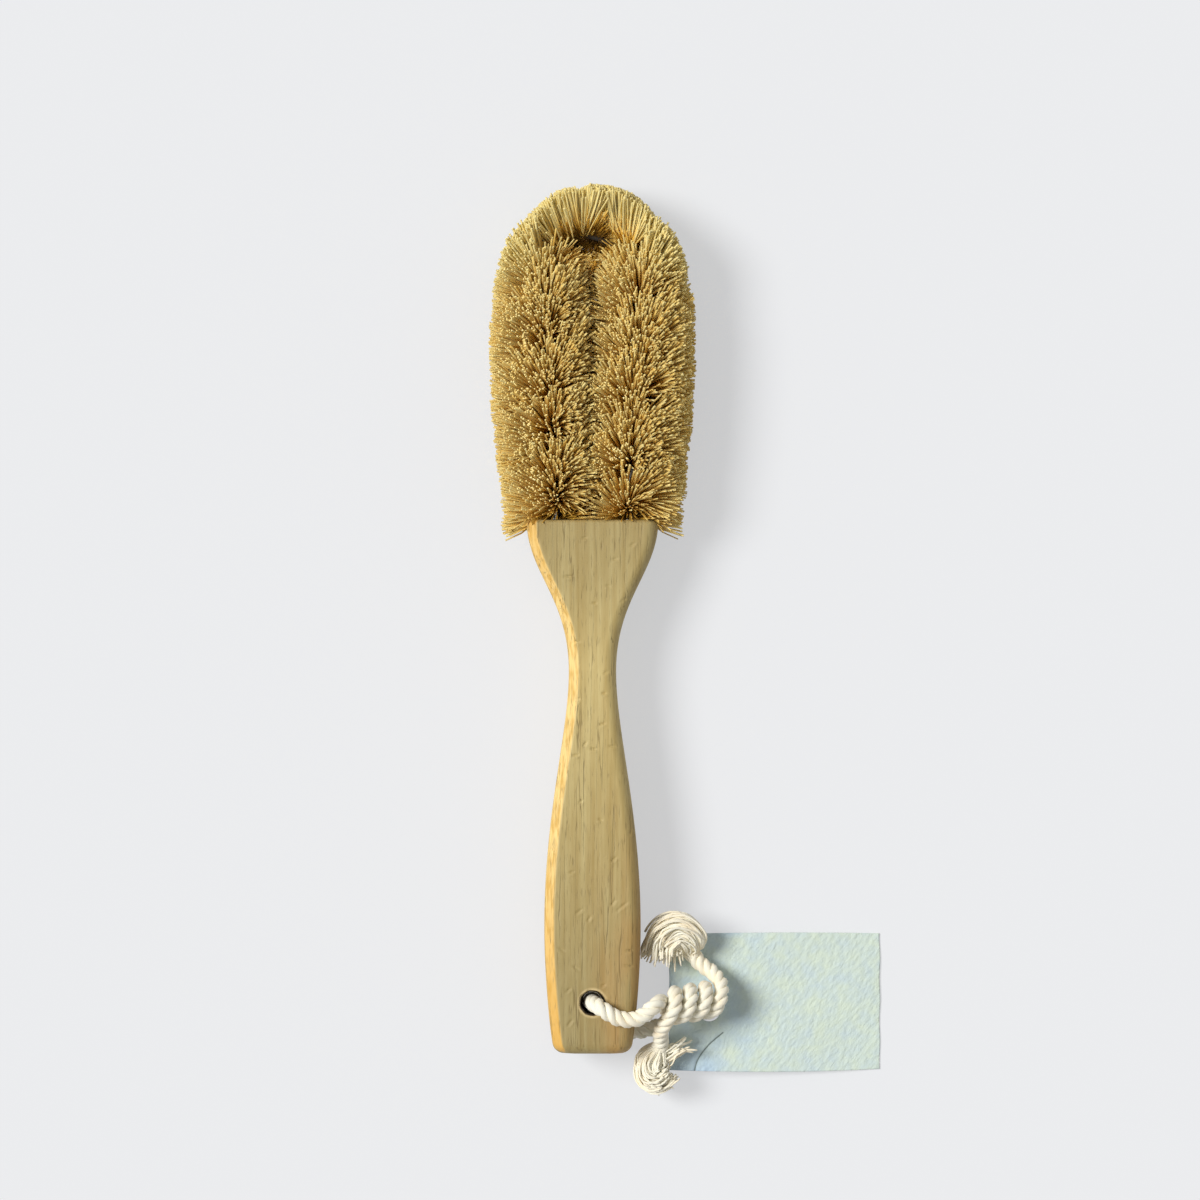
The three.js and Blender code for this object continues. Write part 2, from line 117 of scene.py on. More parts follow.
def add(tree, kind, inputs=(), operation=None, out=None, stops=(), **settings):
    """Adds a node and gives its output of that name, or its first. stops are a colour ramp's."""
    node = tree.nodes.new(kind)
    if operation:
        node.operation = operation
    for name, value in settings.items():
        setattr(node, name, value)
    if stops:
        elements = node.color_ramp.elements
        while len(elements) < len(stops):
            elements.new(0.5)
        for element, (position, code) in zip(elements, stops):
            element.position, element.color = position, colour(code)
    fill(node, inputs)
    return next((s for s in node.outputs if s.enabled and out in (None, s.name)), None)


def new_material(name, roughness, ior=1.5):
    """A new material, its shader, and the function that adds a node to it."""
    material = bpy.data.materials.new(name)
    material.use_nodes = True
    shader = material.node_tree.nodes["Principled BSDF"]
    fill(shader, {"Roughness": roughness, "IOR": ior})
    return material, shader, functools.partial(add, material.node_tree)


print("materials in the packed model:", len(bpy.data.materials))

# %% [markdown]
# ## Sizes and smooth curves
#
# The pieces that are drawn anew here share a few sizes with the CAD model, in millimetres. The curve
# through a row of points could be a Blender curve object, but the plies below need its places as numbers.
# A centripetal Catmull-Rom spline goes through every point, and neither overshoots nor kinks.

# %% Sizes shared with the CAD model
HANDLE_LENGTH, LOOP_LENGTH, COIR_REACH = 160.0, 84.1, 17.0
BUTT_Y = -(HANDLE_LENGTH + LOOP_LENGTH + COIR_REACH) / 2
HANDLE_TOP_Y = BUTT_Y + HANDLE_LENGTH
AXIS_Z, HALF_THICK = 16.5, 8.0
FRONT_Z, BACK_Z = AXIS_Z + HALF_THICK, AXIS_Z - HALF_THICK
CORD_HOLE_FROM_BUTT = 15.3
CORD_HOLE_Y = BUTT_Y + CORD_HOLE_FROM_BUTT
CURVE_STEPS = 40


def way_along(path):
    """How far along a path each of its points lies."""
    return np.concatenate([[0], np.cumsum(np.linalg.norm(np.diff(path, axis=0), axis=1))])


def through(points, spacing):
    """Evenly spaced places on the centripetal Catmull-Rom curve through the points."""
    points = np.vstack([2 * points[0] - points[1], points, 2 * points[-1] - points[-2]])
    u = np.linspace(0, 1, CURVE_STEPS, endpoint=False)[:, None]
    fine = []
    for p0, p1, p2, p3 in zip(points, points[1:], points[2:], points[3:]):
        d0, d1, d2 = (math.sqrt(np.linalg.norm(b - a)) for a, b in ((p0, p1), (p1, p2), (p2, p3)))
        t1 = ((p1 - p0) / d0 - (p2 - p0) / (d0 + d1) + (p2 - p1) / d1) * d1
        t2 = ((p2 - p1) / d1 - (p3 - p1) / (d1 + d2) + (p3 - p2) / d2) * d1
        swing = 3 * (p2 - p1) - 2 * t1 - t2
        fine.append(p1 + t1 * u + swing * u**2 + (2 * (p1 - p2) + t1 + t2) * u**3)
    fine = np.vstack(fine + [points[-2:-1]])
    along = way_along(fine)
    even = np.linspace(0, along[-1], max(2, round(along[-1] / spacing)) + 1)
    return np.column_stack([np.interp(even, along, fine[:, k]) for k in range(3)])


print("handle from", BUTT_Y, "to", HANDLE_TOP_Y, "mm")

# %% [markdown]
# ## The hanging cord's route
#
# The cord goes over the front of the handle, down its hole, back along the table, up through the tag and
# through the half knot a second time. A simulated rope would settle in its own way, so the route is a
# list of points instead, chosen as in the CAD model. They are in millimetres from the middle of the
# cord hole. Only the knot's two strands follow a rule: each winds round the knot's slanting axis.

# %% Route of the cord
CORD_SOLID, CLEARANCE, LYING_SHARE = 4.2, 0.3, 0.4
OVER_Z = FRONT_Z + CLEARANCE + CORD_SOLID / 2
LYING_Z = CORD_SOLID * LYING_SHARE
KNOT_CENTRE = (29.8, -0.2, 17)
KNOT_TURNS, KNOT_POINTS, KNOT_RADIUS, KNOT_PITCH = 1.5, 9, 3.85, 10.5
KNOT_HEADING, KNOT_DIP = math.radians(8), math.radians(28)
CORD_STEP = 0.3


def from_hole(*places):
    """Places in millimetres from the middle of the cord hole, as an array."""
    return np.array(places, float) + [0, CORD_HOLE_Y, 0]


def knot_strand(phase):
    """One strand of the half knot, from its low right end to its high left end."""
    level = math.cos(KNOT_DIP)
    axis = np.array([level * math.cos(KNOT_HEADING), level * math.sin(KNOT_HEADING), -math.sin(KNOT_DIP)])
    aside = np.array([-math.sin(KNOT_HEADING), math.cos(KNOT_HEADING), 0])
    up = np.cross(axis, aside)
    turn = (0.5 - np.arange(KNOT_POINTS) / (KNOT_POINTS - 1)) * KNOT_TURNS
    angle = (phase - turn * 2 * math.pi)[:, None]
    round_axis = aside * np.cos(angle) + up * np.sin(angle)
    return from_hole(KNOT_CENTRE) + axis * (turn * KNOT_PITCH)[:, None] + KNOT_RADIUS * round_axis


cord_points = np.vstack([
    from_hole((29.8, 14.6, 9.2), (32.4, 11.2, 9.4), (36, 8.6, 10.4), (38.6, 5.3, 13.6)),
    knot_strand(0)[:-1],
    from_hole((21.4, -1.2, 18.4), (20.5, 0.4, 21.8), (18.9, -0.6, 26.8), (13.2, -4.6, OVER_Z),
              (7.6, -4.4, OVER_Z), (2.4, -1.3, OVER_Z), (0, 0, FRONT_Z - 3), (0, 0, BACK_Z + 2),
              (1.6, -1.8, BACK_Z - 3.6), (5.4, -5.8, LYING_Z + 0.5), (11, -9.4, LYING_Z + 0.1),
              (17, -9, LYING_Z), (25, -6, LYING_Z + 0.1), (31.8, -4, LYING_Z + 0.5),
              (35.2, -3.4, LYING_Z + 2.8), (35.6, -3, LYING_Z + 6)),
    knot_strand(math.pi),
    from_hole((22.4, -5.3, 22.9), (20.4, -9, 18.2), (20.6, -12.2, 13.6), (19.6, -15.2, 11.4)),
])
cord_path = through(cord_points, CORD_STEP)
cord_length = np.linalg.norm(np.diff(cord_path, axis=0), axis=1).sum()
print("cord", round(cord_length, 1), "mm in", len(cord_path), "steps")

# %% [markdown]
# ## Skins along paths
#
# Plies, yarns and the handle are all skins over rows of rings. A bevelled Blender curve gives such a skin
# too, but not with a section of one's own at every step. A frame that is carried along a path without
# turning about it keeps the rings from twisting. Each skin is closed at both ends, and its UV map holds
# the way along it and round it in millimetres, for finishes that follow the surface.

# %% Frames and rings along a path
# Any direction that no path here starts along.
ASKEW = (0.3, 0.2, 0.93)


def carried_frames(path):
    """Two side directions along a path, turned no more than the path itself turns."""
    tangents = np.gradient(path, axis=0)
    tangents /= np.linalg.norm(tangents, axis=1)[:, None]
    side = np.cross(tangents[0], ASKEW)
    sides = []
    for tangent in tangents:
        side = side - tangent * side.dot(tangent)
        side = side / np.linalg.norm(side)
        sides.append(side)
    sides = np.array(sides)
    return sides, np.cross(tangents, sides)


def tube_rings(path, radius, sides, ridges=0, ridge_height=0.0, ridge_twist=0.0):
    """Rings along a path. radius may vary along it, and ridges run round it in a slow screw."""
    one, other = carried_frames(path)
    radius = np.broadcast_to(radius, len(path))
    angle = np.linspace(0, 2 * math.pi, sides, endpoint=False)[None, :]
    wave = 1 + ridge_height * np.cos(ridges * angle + ridge_twist * way_along(path)[:, None])
    reach = radius[:, None] * wave
    return (path[:, None] + one[:, None] * (reach * np.cos(angle))[..., None]
            + other[:, None] * (reach * np.sin(angle))[..., None])


cord_sides = carried_frames(cord_path)
print("frames along the cord:", len(cord_sides[0]))

# %% Skins over rings
def new_piece(name, mesh):
    """An object for a mesh, linked to the scene."""
    piece = bpy.data.objects.new(name, mesh)
    bpy.context.collection.objects.link(piece)
    return piece


def skin(name, ring_sets, material):
    """A smooth mesh object over several rows of rings, in millimetres, each closed at both ends."""
    corners, faces, uvs, base = [], [], [], 0
    for rings in ring_sets:
        rows, count = rings.shape[:2]
        corners.append(rings.reshape(-1, 3))
        along = way_along(rings.mean(axis=1))
        girth = np.linalg.norm(np.diff(rings[rows // 2], axis=0), axis=1).mean()
        i, j = np.meshgrid(np.arange(rows - 1), np.arange(count), indexing="ij")
        k = (j + 1) % count
        quads = np.stack([i * count + j, i * count + k, (i + 1) * count + k, (i + 1) * count + j], axis=-1)
        faces += (quads.reshape(-1, 4) + base).tolist()
        across = np.stack([j, j + 1, j + 1, j], axis=-1) * girth
        upward = along[np.stack([i, i, i + 1, i + 1], axis=-1)]
        uvs.append(np.stack([across, upward], axis=-1).reshape(-1, 2))
        faces.append(list(range(base + count - 1, base - 1, -1)))
        faces.append(list(range(base + (rows - 1) * count, base + rows * count)))
        uvs.append(np.zeros((2 * count, 2)))
        base += rows * count
    mesh = bpy.data.meshes.new(name)
    mesh.from_pydata((np.vstack(corners) * MM).tolist(), [], faces)
    mesh.uv_layers.new(name="along").data.foreach_set("uv", np.vstack(uvs).astype(np.float32).ravel())
    mesh.polygons.foreach_set("use_smooth", [True] * len(mesh.polygons))
    mesh.materials.append(material)
    return new_piece(name, mesh)


# %% Plain meshes and their values
def settle(piece):
    """Turns a piece with modifiers into a plain mesh."""
    graph = bpy.context.evaluated_depsgraph_get()
    piece.data = bpy.data.meshes.new_from_object(
        piece.evaluated_get(graph), preserve_all_data_layers=True, depsgraph=graph)
    piece.modifiers.clear()


def mark_points(mesh, name, values):
    """Stores one number for each point of a mesh, for its finish or for Geometry Nodes."""
    mark = mesh.attributes.new(name, "FLOAT", "POINT")
    mark.data.foreach_set("value", np.ravel(values).astype(np.float32))


def triangles(piece):
    """How many triangles a mesh piece has."""
    return sum(len(face.vertices) - 2 for face in piece.data.polygons)


print("CAD handle:", triangles(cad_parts["handle"]), "triangles")

# %% [markdown]
# ## Undyed cotton
#
# The cord and its frayed ends are undyed cotton yarn: a warm white, quite matt, with a fine nap that
# softens every edge. The yarns are real ridges in the mesh, so the finish only adds the fibres in them,
# about a tenth of a millimetre wide, and the creamier tone that raw cotton has in places. Hair could
# stand for the nap, but sheen gives the eye the same soft edge at far less cost.

# %% Cotton finish
SOILED_PATCH = 6
LINT_PER_MM = (9, 1.2, 1)
LINT_SLANT, LINT_DEPTH = 0.5, 0.12
cotton, shader, put = new_material("undyed_cotton_yarn", roughness=0.9)
place = put("ShaderNodeTexCoord").node.outputs
soiled = put(NOISE, {"Vector": place["Object"], "Scale": per_mm(SOILED_PATCH), "Detail": 3.0})
tone = put(RAMP, [soiled], stops=((0.3, "#fcefd2"), (0.62, "#fffae6")))
lint = put(MAPPING, {"Vector": place["UV"], "Rotation": (0, 0, LINT_SLANT), "Scale": LINT_PER_MM})
lint = put(NOISE, {"Vector": lint, "Scale": 1.0, "Detail": 2.0})
bump = put("ShaderNodeBump", {"Strength": 0.5, "Distance": LINT_DEPTH * MM, "Height": lint})
fill(shader, {"Base Color": tone, "Normal": bump, "Sheen Weight": 0.25, "Sheen Roughness": 0.6})
print("made", cotton.name)

# %% [markdown]
# ## Three plies of cord
#
# Three plies are laid up right-handed, about nine millimetres to the turn, and each ply is a bundle of
# seven yarns that wind slowly round it. A round tube with a twisted bump would look flat at its edges, so
# each ply is a skin along its own screw line round the cord's route. The knot draws the cord a little
# thinner, and where it lies on the table it is pressed flat.

# %% Cord of three plies
CORD_DIAMETER, KNOTTED_DIAMETER = 4.8, 4.3
KNOT_NEAR, KNOT_FADE, KNOT_STRETCH = 14, 4, (0.75, 1, 1)
LAY_PITCH, PLY_OUT, PLY_RADIUS, PLY_SIDES = 9.2, 0.265, 0.25, 21
YARNS_IN_PLY, YARN_RIDGE, YARN_PITCH = 7, 0.07, 1.6
CORD_LOWEST = 0.06
steps = np.arange(len(cord_path)) * cord_length / (len(cord_path) - 1)
near_knot = np.linalg.norm((cord_path - from_hole(KNOT_CENTRE)) * KNOT_STRETCH, axis=1)
drawn_thin = np.clip((KNOT_NEAR - near_knot) / KNOT_FADE, 0, 1)
girth = CORD_DIAMETER - (CORD_DIAMETER - KNOTTED_DIAMETER) * drawn_thin
one, other = cord_sides
plies = []
for ply in range(3):
    angle = 2 * math.pi * (steps / LAY_PITCH + ply / 3)
    out = (girth * PLY_OUT)[:, None]
    line = cord_path + out * (one * np.cos(angle)[:, None] + other * np.sin(angle)[:, None])
    rings = tube_rings(line, girth * PLY_RADIUS, PLY_SIDES,
                       YARNS_IN_PLY, YARN_RIDGE, -2 * math.pi / YARN_PITCH)
    rings[..., 2] = np.maximum(rings[..., 2], CORD_LOWEST)
    plies.append(rings)
cord = skin("hanging_cord_plies", plies, cotton)
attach(cord, "cord")
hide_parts("hanging_cord")
print("cord:", triangles(cord), "triangles")

# %% [markdown]
# ## Frayed ends
#
# Past each end of the cord the plies are teased out to loose yarns. Blender's hair would make such mops,
# but every yarn has to end up in the mesh, so each is a thin tube. It follows the middle line of its mop
# at its own place in the bundle, drifts a little, and stops at its own length. The upper mop falls over
# to the left, and the lower one curls back on itself with a few yarns that stand off to the right.

# %% Loose yarns along one line
YARN_RADIUS, YARN_GIRTHS, YARN_SIDES, YARN_LOWEST = 0.31, (0.75, 1.2), 6, 0.1
FAN_FROM, THIN_FROM, THIN_END, LONGEST, INNERMOST, SWAY_POINTS = 0.75, 0.9, 0.7, 1.08, 0.02, 4
BESIDE_HANDLE = 14.4
TUCKED_IN, UPPER_STEP = 8, 0.8
chance = np.random.default_rng(7)


def mop(middle, girths, count, spread_ends, drift, shortest):
    """Ring sets of loose yarns that follow one middle line, thicker where the mop swells."""
    one, other = carried_frames(middle)
    share = np.linspace(0, 1, len(middle))
    radius = np.interp(share, np.linspace(0, 1, len(girths)), girths) / 2
    fan = 1 + spread_ends * np.clip((share - FAN_FROM) / (1 - FAN_FROM), 0, 1) ** 2
    yarns = []
    for _ in range(count):
        turn, depth = chance.uniform(0, 2 * math.pi), math.sqrt(chance.uniform(INNERMOST, 1))
        sway = chance.normal(0, drift, (SWAY_POINTS, 3))
        sway[0] = 0
        knots = np.linspace(0, 1, SWAY_POINTS)
        sway = np.column_stack([np.interp(share, knots, sway[:, k]) for k in range(3)])
        aside = one * math.cos(turn) + other * math.sin(turn)
        line = middle + (radius * depth * fan)[:, None] * aside + sway
        stop = max(4, int(len(line) * min(1, chance.uniform(shortest, LONGEST))))
        line[:, 2] = np.maximum(line[:, 2], YARN_RADIUS + YARN_LOWEST)
        clear = np.maximum(line[:, 0], BESIDE_HANDLE + YARN_RADIUS)
        line[:, 0] = np.where(line[:, 1] > BUTT_Y, clear, line[:, 0])
        thin_end = np.interp(share[:stop], [0, THIN_FROM, 1], [1, 1, THIN_END])
        thickness = YARN_RADIUS * chance.uniform(*YARN_GIRTHS) * thin_end
        yarns.append(tube_rings(line[:stop], thickness, YARN_SIDES))
    return yarns


upper_line = through(np.vstack([
    cord_path[TUCKED_IN], cord_path[0],
    from_hole((29.3, 16.6, 9.8), (29.2, 19.2, 12), (26, 21.4, 13), (21.8, 18.6, 12.4), (20.4, 12.4, 10.8)),
]), UPPER_STEP)
upper_girths = (3.8, 6.2, 9, 10.4, 11, 11, 10.4)
upper = mop(upper_line, upper_girths, count=300, spread_ends=0.4, drift=0.8, shortest=0.72)
print("upper mop:", len(upper), "yarns")

# %% Both frayed ends
LOWER_STEP = 0.7
lower_start = [cord_path[-1 - TUCKED_IN], cord_path[-1]]
lower_line = through(np.vstack([
    *lower_start,
    from_hole((18.4, -17.4, 10.8), (17.4, -20.2, 11), (18.4, -22.8, 11.4), (21, -22.6, 12),
              (22.6, -20.8, 12.4)),
]), LOWER_STEP)
lower_girths = (3.8, 7, 9.4, 9.6, 8.6, 7)
lower = mop(lower_line, lower_girths, count=230, spread_ends=0.4, drift=0.6, shortest=0.7)
for places, girths, count in (
    (((21.6, -17, 11.2), (25.4, -14.8, 12), (29.8, -12.4, 11.6)), (3.6, 4, 3.6, 3), 26),
    (((18.6, -18.6, 10.4), (19.6, -22.4, 10), (22.6, -26, 9.4)), (3.6, 5.6, 5, 4.6), 40),
):
    stray_line = through(np.vstack([*lower_start, from_hole(*places)]), LOWER_STEP)
    lower += mop(stray_line, girths, count, spread_ends=0.7, drift=0.6, shortest=0.7)
frayed_upper = skin("frayed_yarns_upper", upper, cotton)
frayed_lower = skin("frayed_yarns_lower", lower, cotton)
for piece, node in ((frayed_upper, "frayed_end_upper"), (frayed_lower, "frayed_end_lower")):
    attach(piece, "cord")
    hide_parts(node)
    print(piece.name, triangles(piece), "triangles")

# %% [markdown]
# ## Handmade paper
#
# The tag is thick handmade paper, matt, pale blue-green, bluer towards its punched end. The sheet was
# couched from pulp, so it has a soft mottle some millimetres across and a relief of pressed fibres, a
# little over a millimetre wide and twice as long. A photograph of paper could give both, but two layers
# of noise need no image and stay sharp from close by.

# %% Paper finish
MOTTLE, BLUE_PATCH = 4, 14
BLUE_FROM_X, BLUE_TO_X = 54 * MM, 36 * MM
PULP_SIZE, PULP_SLANT, PULP_DEPTH = (1.3 * MM, 2.6 * MM, 1), -0.7, 0.5
paper, shader, put = new_material("handmade_paper", roughness=0.85)
place = put("ShaderNodeTexCoord", out="Object")
mottle = put(NOISE, {"Vector": place, "Scale": per_mm(MOTTLE), "Detail": 4.0})
tint = put(RAMP, [mottle], stops=((0.3, "#cfdfde"), (0.66, "#dae7d5")))
# The paper turns bluer in soft patches towards its punched end.
bluer = put(NOISE, {"Vector": place, "Scale": per_mm(BLUE_PATCH), "Detail": 2.0})
bluer = put(RANGE, [bluer, 0.3, 0.6])
to_left = put(RANGE, [put(PART_XYZ, [place], out="X"), BLUE_FROM_X, BLUE_TO_X])
bluer = put(MATH, [bluer, to_left], "MULTIPLY")
tint = put(MIX, [bluer, tint, colour("#bcd3e4")], data_type="RGBA")
# The dark line along the crease is painted shade.
crease_shade = put("ShaderNodeAttribute", out="Fac", attribute_name="crease_shade", attribute_type="GEOMETRY")
crease_shaded = put(MIX, [crease_shade, tint, colour("#4c5a50")], data_type="RGBA")
pulp = {"Vector": place, "Rotation": (0, 0, PULP_SLANT), "Scale": PULP_SIZE}
pulp = put(MAPPING, pulp, vector_type="TEXTURE")
pulp = put(NOISE, {"Vector": pulp, "Scale": 1.0, "Detail": 4.0})
bump = put("ShaderNodeBump", {"Strength": 0.9, "Distance": PULP_DEPTH * MM, "Height": pulp})
fill(shader, {"Base Color": crease_shaded, "Normal": bump})
print("made", paper.name)

# %% [markdown]
# ## Swing tag
#
# The tag is one sheet that leans from the cord under its punched end down to the table. A Boolean could
# punch the hole, but a grid of small cells in the sheet's own plane bends better. The cells inside the
# hole are left out and the hole's edge is drawn onto a circle. The sheet bows a little, and one corner
# has a curved crease. Solidify then gives it the paper's thickness.

# %% Tag's sheet in its own plane
TAG_LENGTH, TAG_HEIGHT, TAG_THICKNESS = 64.0, 41.0, 0.5
TAG_LEFT, TAG_LOW = -12.2, 2.6 - TAG_HEIGHT / 2
TAG_HOLE_RADIUS, TAG_HOLE_HEIGHT = 3.3, 4.8
CELLS_ALONG, CELLS_ACROSS = 200, 128
LOW_EDGE_BOW, BOTH_EDGES_BOW, END_WAVE, END_WAVE_RATE = 0.7, 1.05, 0.25, 0.5
u = TAG_LEFT + TAG_LENGTH * np.arange(CELLS_ALONG + 1)[:, None] / CELLS_ALONG + np.zeros(CELLS_ACROSS + 1)
v_share = np.arange(CELLS_ACROSS + 1)[None, :] / CELLS_ACROSS
u_share = (u - TAG_LEFT) / TAG_LENGTH
bow = 4 * u_share * (1 - u_share)
v = TAG_LOW - LOW_EDGE_BOW * bow + (TAG_HEIGHT + BOTH_EDGES_BOW * bow) * v_share
u = u + END_WAVE * np.sin(v * END_WAVE_RATE) * (u_share - 0.5)
distance = np.hypot(u, v)
inside = distance < TAG_HOLE_RADIUS
hole_edge = np.zeros_like(inside)
for du, dv in ((1, 0), (-1, 0), (0, 1), (0, -1), (1, 1), (-1, -1), (1, -1), (-1, 1)):
    hole_edge |= np.roll(inside, (du, dv), (0, 1))
hole_edge &= ~inside
u = np.where(hole_edge, u / distance * TAG_HOLE_RADIUS, u)
v = np.where(hole_edge, v / distance * TAG_HOLE_RADIUS, v)
print("tag hole:", int(inside.sum()), "points left out,", int(hole_edge.sum()), "on its edge")

# %% Tag's crease and lean
CREASE_POINTS = np.array([[4.1, -6.7, 0], [-0.4, -10.6, 0], [-3.6, -15, 0], [-4.6, -18.6, 0]])
CREASE_STEP, CREASE_DEPTH, CREASE_WIDTH = 0.2, 0.18, 0.5
SHEET_BOW, SHEET_WAVE, WAVE_ALONG, WAVE_ACROSS, WAVE_START = 0.25, 0.16, 0.16, 0.19, 0.6
TAG_HOLE_X, TAG_HOLE_Y = 35.2, -3.2
TAG_LEAN = math.asin(TAG_HOLE_HEIGHT / (TAG_LENGTH + TAG_LEFT))
to_crease = np.full(u.shape, np.inf)
for x, y in through(CREASE_POINTS, CREASE_STEP)[:, :2]:
    to_crease = np.minimum(to_crease, np.hypot(u - x, v - y))
lift = SHEET_WAVE * np.sin(u * WAVE_ALONG + WAVE_START) * np.sin(v * WAVE_ACROSS) + SHEET_BOW * bow
lift = lift - CREASE_DEPTH * np.exp(-(to_crease / CREASE_WIDTH) ** 2)
x = u * math.cos(TAG_LEAN) + lift * math.sin(TAG_LEAN)
z = -u * math.sin(TAG_LEAN) + lift * math.cos(TAG_LEAN) + TAG_HOLE_HEIGHT
corners = np.stack([x + TAG_HOLE_X, v + TAG_HOLE_Y + CORD_HOLE_Y, z], axis=-1).reshape(-1, 3)
print("tag leans", round(math.degrees(TAG_LEAN), 1), "degrees")

# %% Swing tag
CREASE_SHADE, CREASE_SOFT, CREASE_LINE = 0.85, 1.5, 0.28
i, j = np.meshgrid(np.arange(CELLS_ALONG), np.arange(CELLS_ACROSS), indexing="ij")
step = CELLS_ACROSS + 1
quads = np.stack([i * step + j, (i + 1) * step + j, (i + 1) * step + j + 1, i * step + j + 1], axis=-1)
quads = quads.reshape(-1, 4)
quads = quads[~inside.ravel()[quads].any(axis=1)]
mesh = bpy.data.meshes.new("swing_tag_paper")
mesh.from_pydata((corners * MM).tolist(), [], quads.tolist())
# How strongly painted shade darkens each point along the crease.
mark_points(mesh, "crease_shade", CREASE_SHADE * np.clip(CREASE_SOFT - to_crease / CREASE_LINE, 0, 1))
mesh.polygons.foreach_set("use_smooth", [True] * len(mesh.polygons))
mesh.materials.append(paper)
tag = new_piece("swing_tag_paper", mesh)
cleaner = bmesh.new()
cleaner.from_mesh(mesh)
cleaner.verts.ensure_lookup_table()
loose = [cleaner.verts[index] for index in np.flatnonzero(inside).tolist()]
bmesh.ops.delete(cleaner, geom=loose, context="VERTS")
cleaner.to_mesh(mesh)
cleaner.free()
thickness = tag.modifiers.new("thickness", "SOLIDIFY")
thickness.thickness, thickness.offset = TAG_THICKNESS * MM, 1.0
settle(tag)
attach(tag, "tag")
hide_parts("swing_tag")
print("tag:", triangles(tag), "triangles")

# %% [markdown]
# ## The cord
#
# It is a free cord. It leaves the brush at the back of the handle's hole, both of its ends are bare, and
# the frayed yarns and the tag are on it.

print("declared", cord.name)

# %% [markdown]
# ## Sanded pale wood
#
# The handle is a pale open-grained hardwood, cut from board, sanded and left bare, so it is quite matt.
# Its colour comes in broad bands along the grain. Over them run long dark vessel lines that break off and
# start again, and fine pores some millimetres long. A wave texture gives even rings, but noise stretched
# along the grain is as uneven as wood, so every pattern here is such a noise with a width and a length of
# its own.

# %% Wood grain
# Each pattern's width and length along the grain in millimetres, with its noise's detail and roughness.
# The pores are drawn about twice as wide as real ones, so that they show.
GRAIN = {"band": (3, 90, 6.0, 0.7), "fleck": (1.2, 6, 3.0, 0.5), "stain": (7, 40, 3.0, 0.5),
         "vessel": (2, 85, 2.0, 0.5), "broken": (1.5, 26, 1.0, 0.5), "pore": (0.5, 5, 2.0, 0.5)}
VESSEL_LINE, VESSEL_DARK, PORE_DARK = (0.003, 0.014), 0.62, 0.45
wood, wood_shader, put = new_material("sanded_pale_hardwood", roughness=0.6)
place = put("ShaderNodeTexCoord", out="Object")
pattern = {}
for name, (width, length, detail, roughness) in GRAIN.items():
    stretched = put(MAPPING, {"Vector": place, "Scale": (per_mm(width), per_mm(length), per_mm(width))})
    noise = {"Vector": stretched, "Scale": 1.0, "Detail": detail, "Roughness": roughness}
    pattern[name] = put(NOISE, noise)
vessel = put(MATH, [pattern["vessel"], 0.5], "SUBTRACT")
vessel = put(MATH, [vessel], "ABSOLUTE")
vessel = put(RANGE, [vessel, *VESSEL_LINE, VESSEL_DARK, 0.0])
broken = put(RANGE, [pattern["broken"], 0.4, 0.54])
vessel = put(MATH, [vessel, broken], "MULTIPLY")
pore = put(RANGE, [pattern["pore"], 0.58, 0.75, 0.0, PORE_DARK])
grain = put(MATH, [vessel, pore], "MAXIMUM")
print("wood has", len(pattern), "patterns")

# %% [markdown]
# ## Wood's marks and painted shade
#
# The wood is darker towards the butt, and its right side is stained. Near the head the fibres' shadow is
# painted on. The left edges are fresh cuts: a bevel of golden, flecked wood, which the mesh marks with an
# attribute, painted brighter for the light that falls on it from the left. Round the cord hole the surface
# is chipped pale, and the hole's wall is painted dark with shade. One image painted by hand could hold all
# this, but masks from places on the object stay true at any size.

# %% Wood finish
# How light the wood is along the handle, from the butt at 0 to the head at 1: darker towards the butt, and
# painted shadow of the fibres near the head.
LIGHTNESS_AND_SHADOW = ((0, 0.6), (0.12, 0.64), (0.32, 0.77), (0.55, 0.9), (0.72, 1.0), (0.88, 0.77), (1, 0.7))
ALONG_FROM_Y, ALONG_TO_Y = -130 * MM, 30 * MM
STAIN_X, STAIN_Y, STAIN_DARK = (-2 * MM, 12 * MM), (-50 * MM, -100 * MM), 0.85
CHIPPED_FROM, CHIPPED_TO, SHADE_FROM, SHADE_TO = 4.8 * MM, 4.1 * MM, 4.0 * MM, 3.7 * MM
PORE_DEPTH = 0.3 * MM
board = put(RAMP, [pattern["band"]], stops=((0.32, "#bb9f5c"), (0.66, "#dac688")))
at = put(PART_XYZ, [place]).node.outputs
# Darker towards the butt, and the fibres' shadow painted on near the head.
lightness_and_shadow = put(RAMP, [put(RANGE, [at["Y"], ALONG_FROM_Y, ALONG_TO_Y])], stops=LIGHTNESS_AND_SHADOW)
board_with_shadow = put(MIX, [1.0, board, lightness_and_shadow], data_type="RGBA", blend_type="MULTIPLY")
cut = put(RAMP, [pattern["fleck"]], stops=((0.36, "#d8ad58"), (0.56, "#f6d286")))
golden = put(RANGE, [lightness_and_shadow, 0.82, 0.6, 0.0, 0.85])
cut = put(MIX, [golden, cut, colour("#d9a546")], data_type="RGBA")
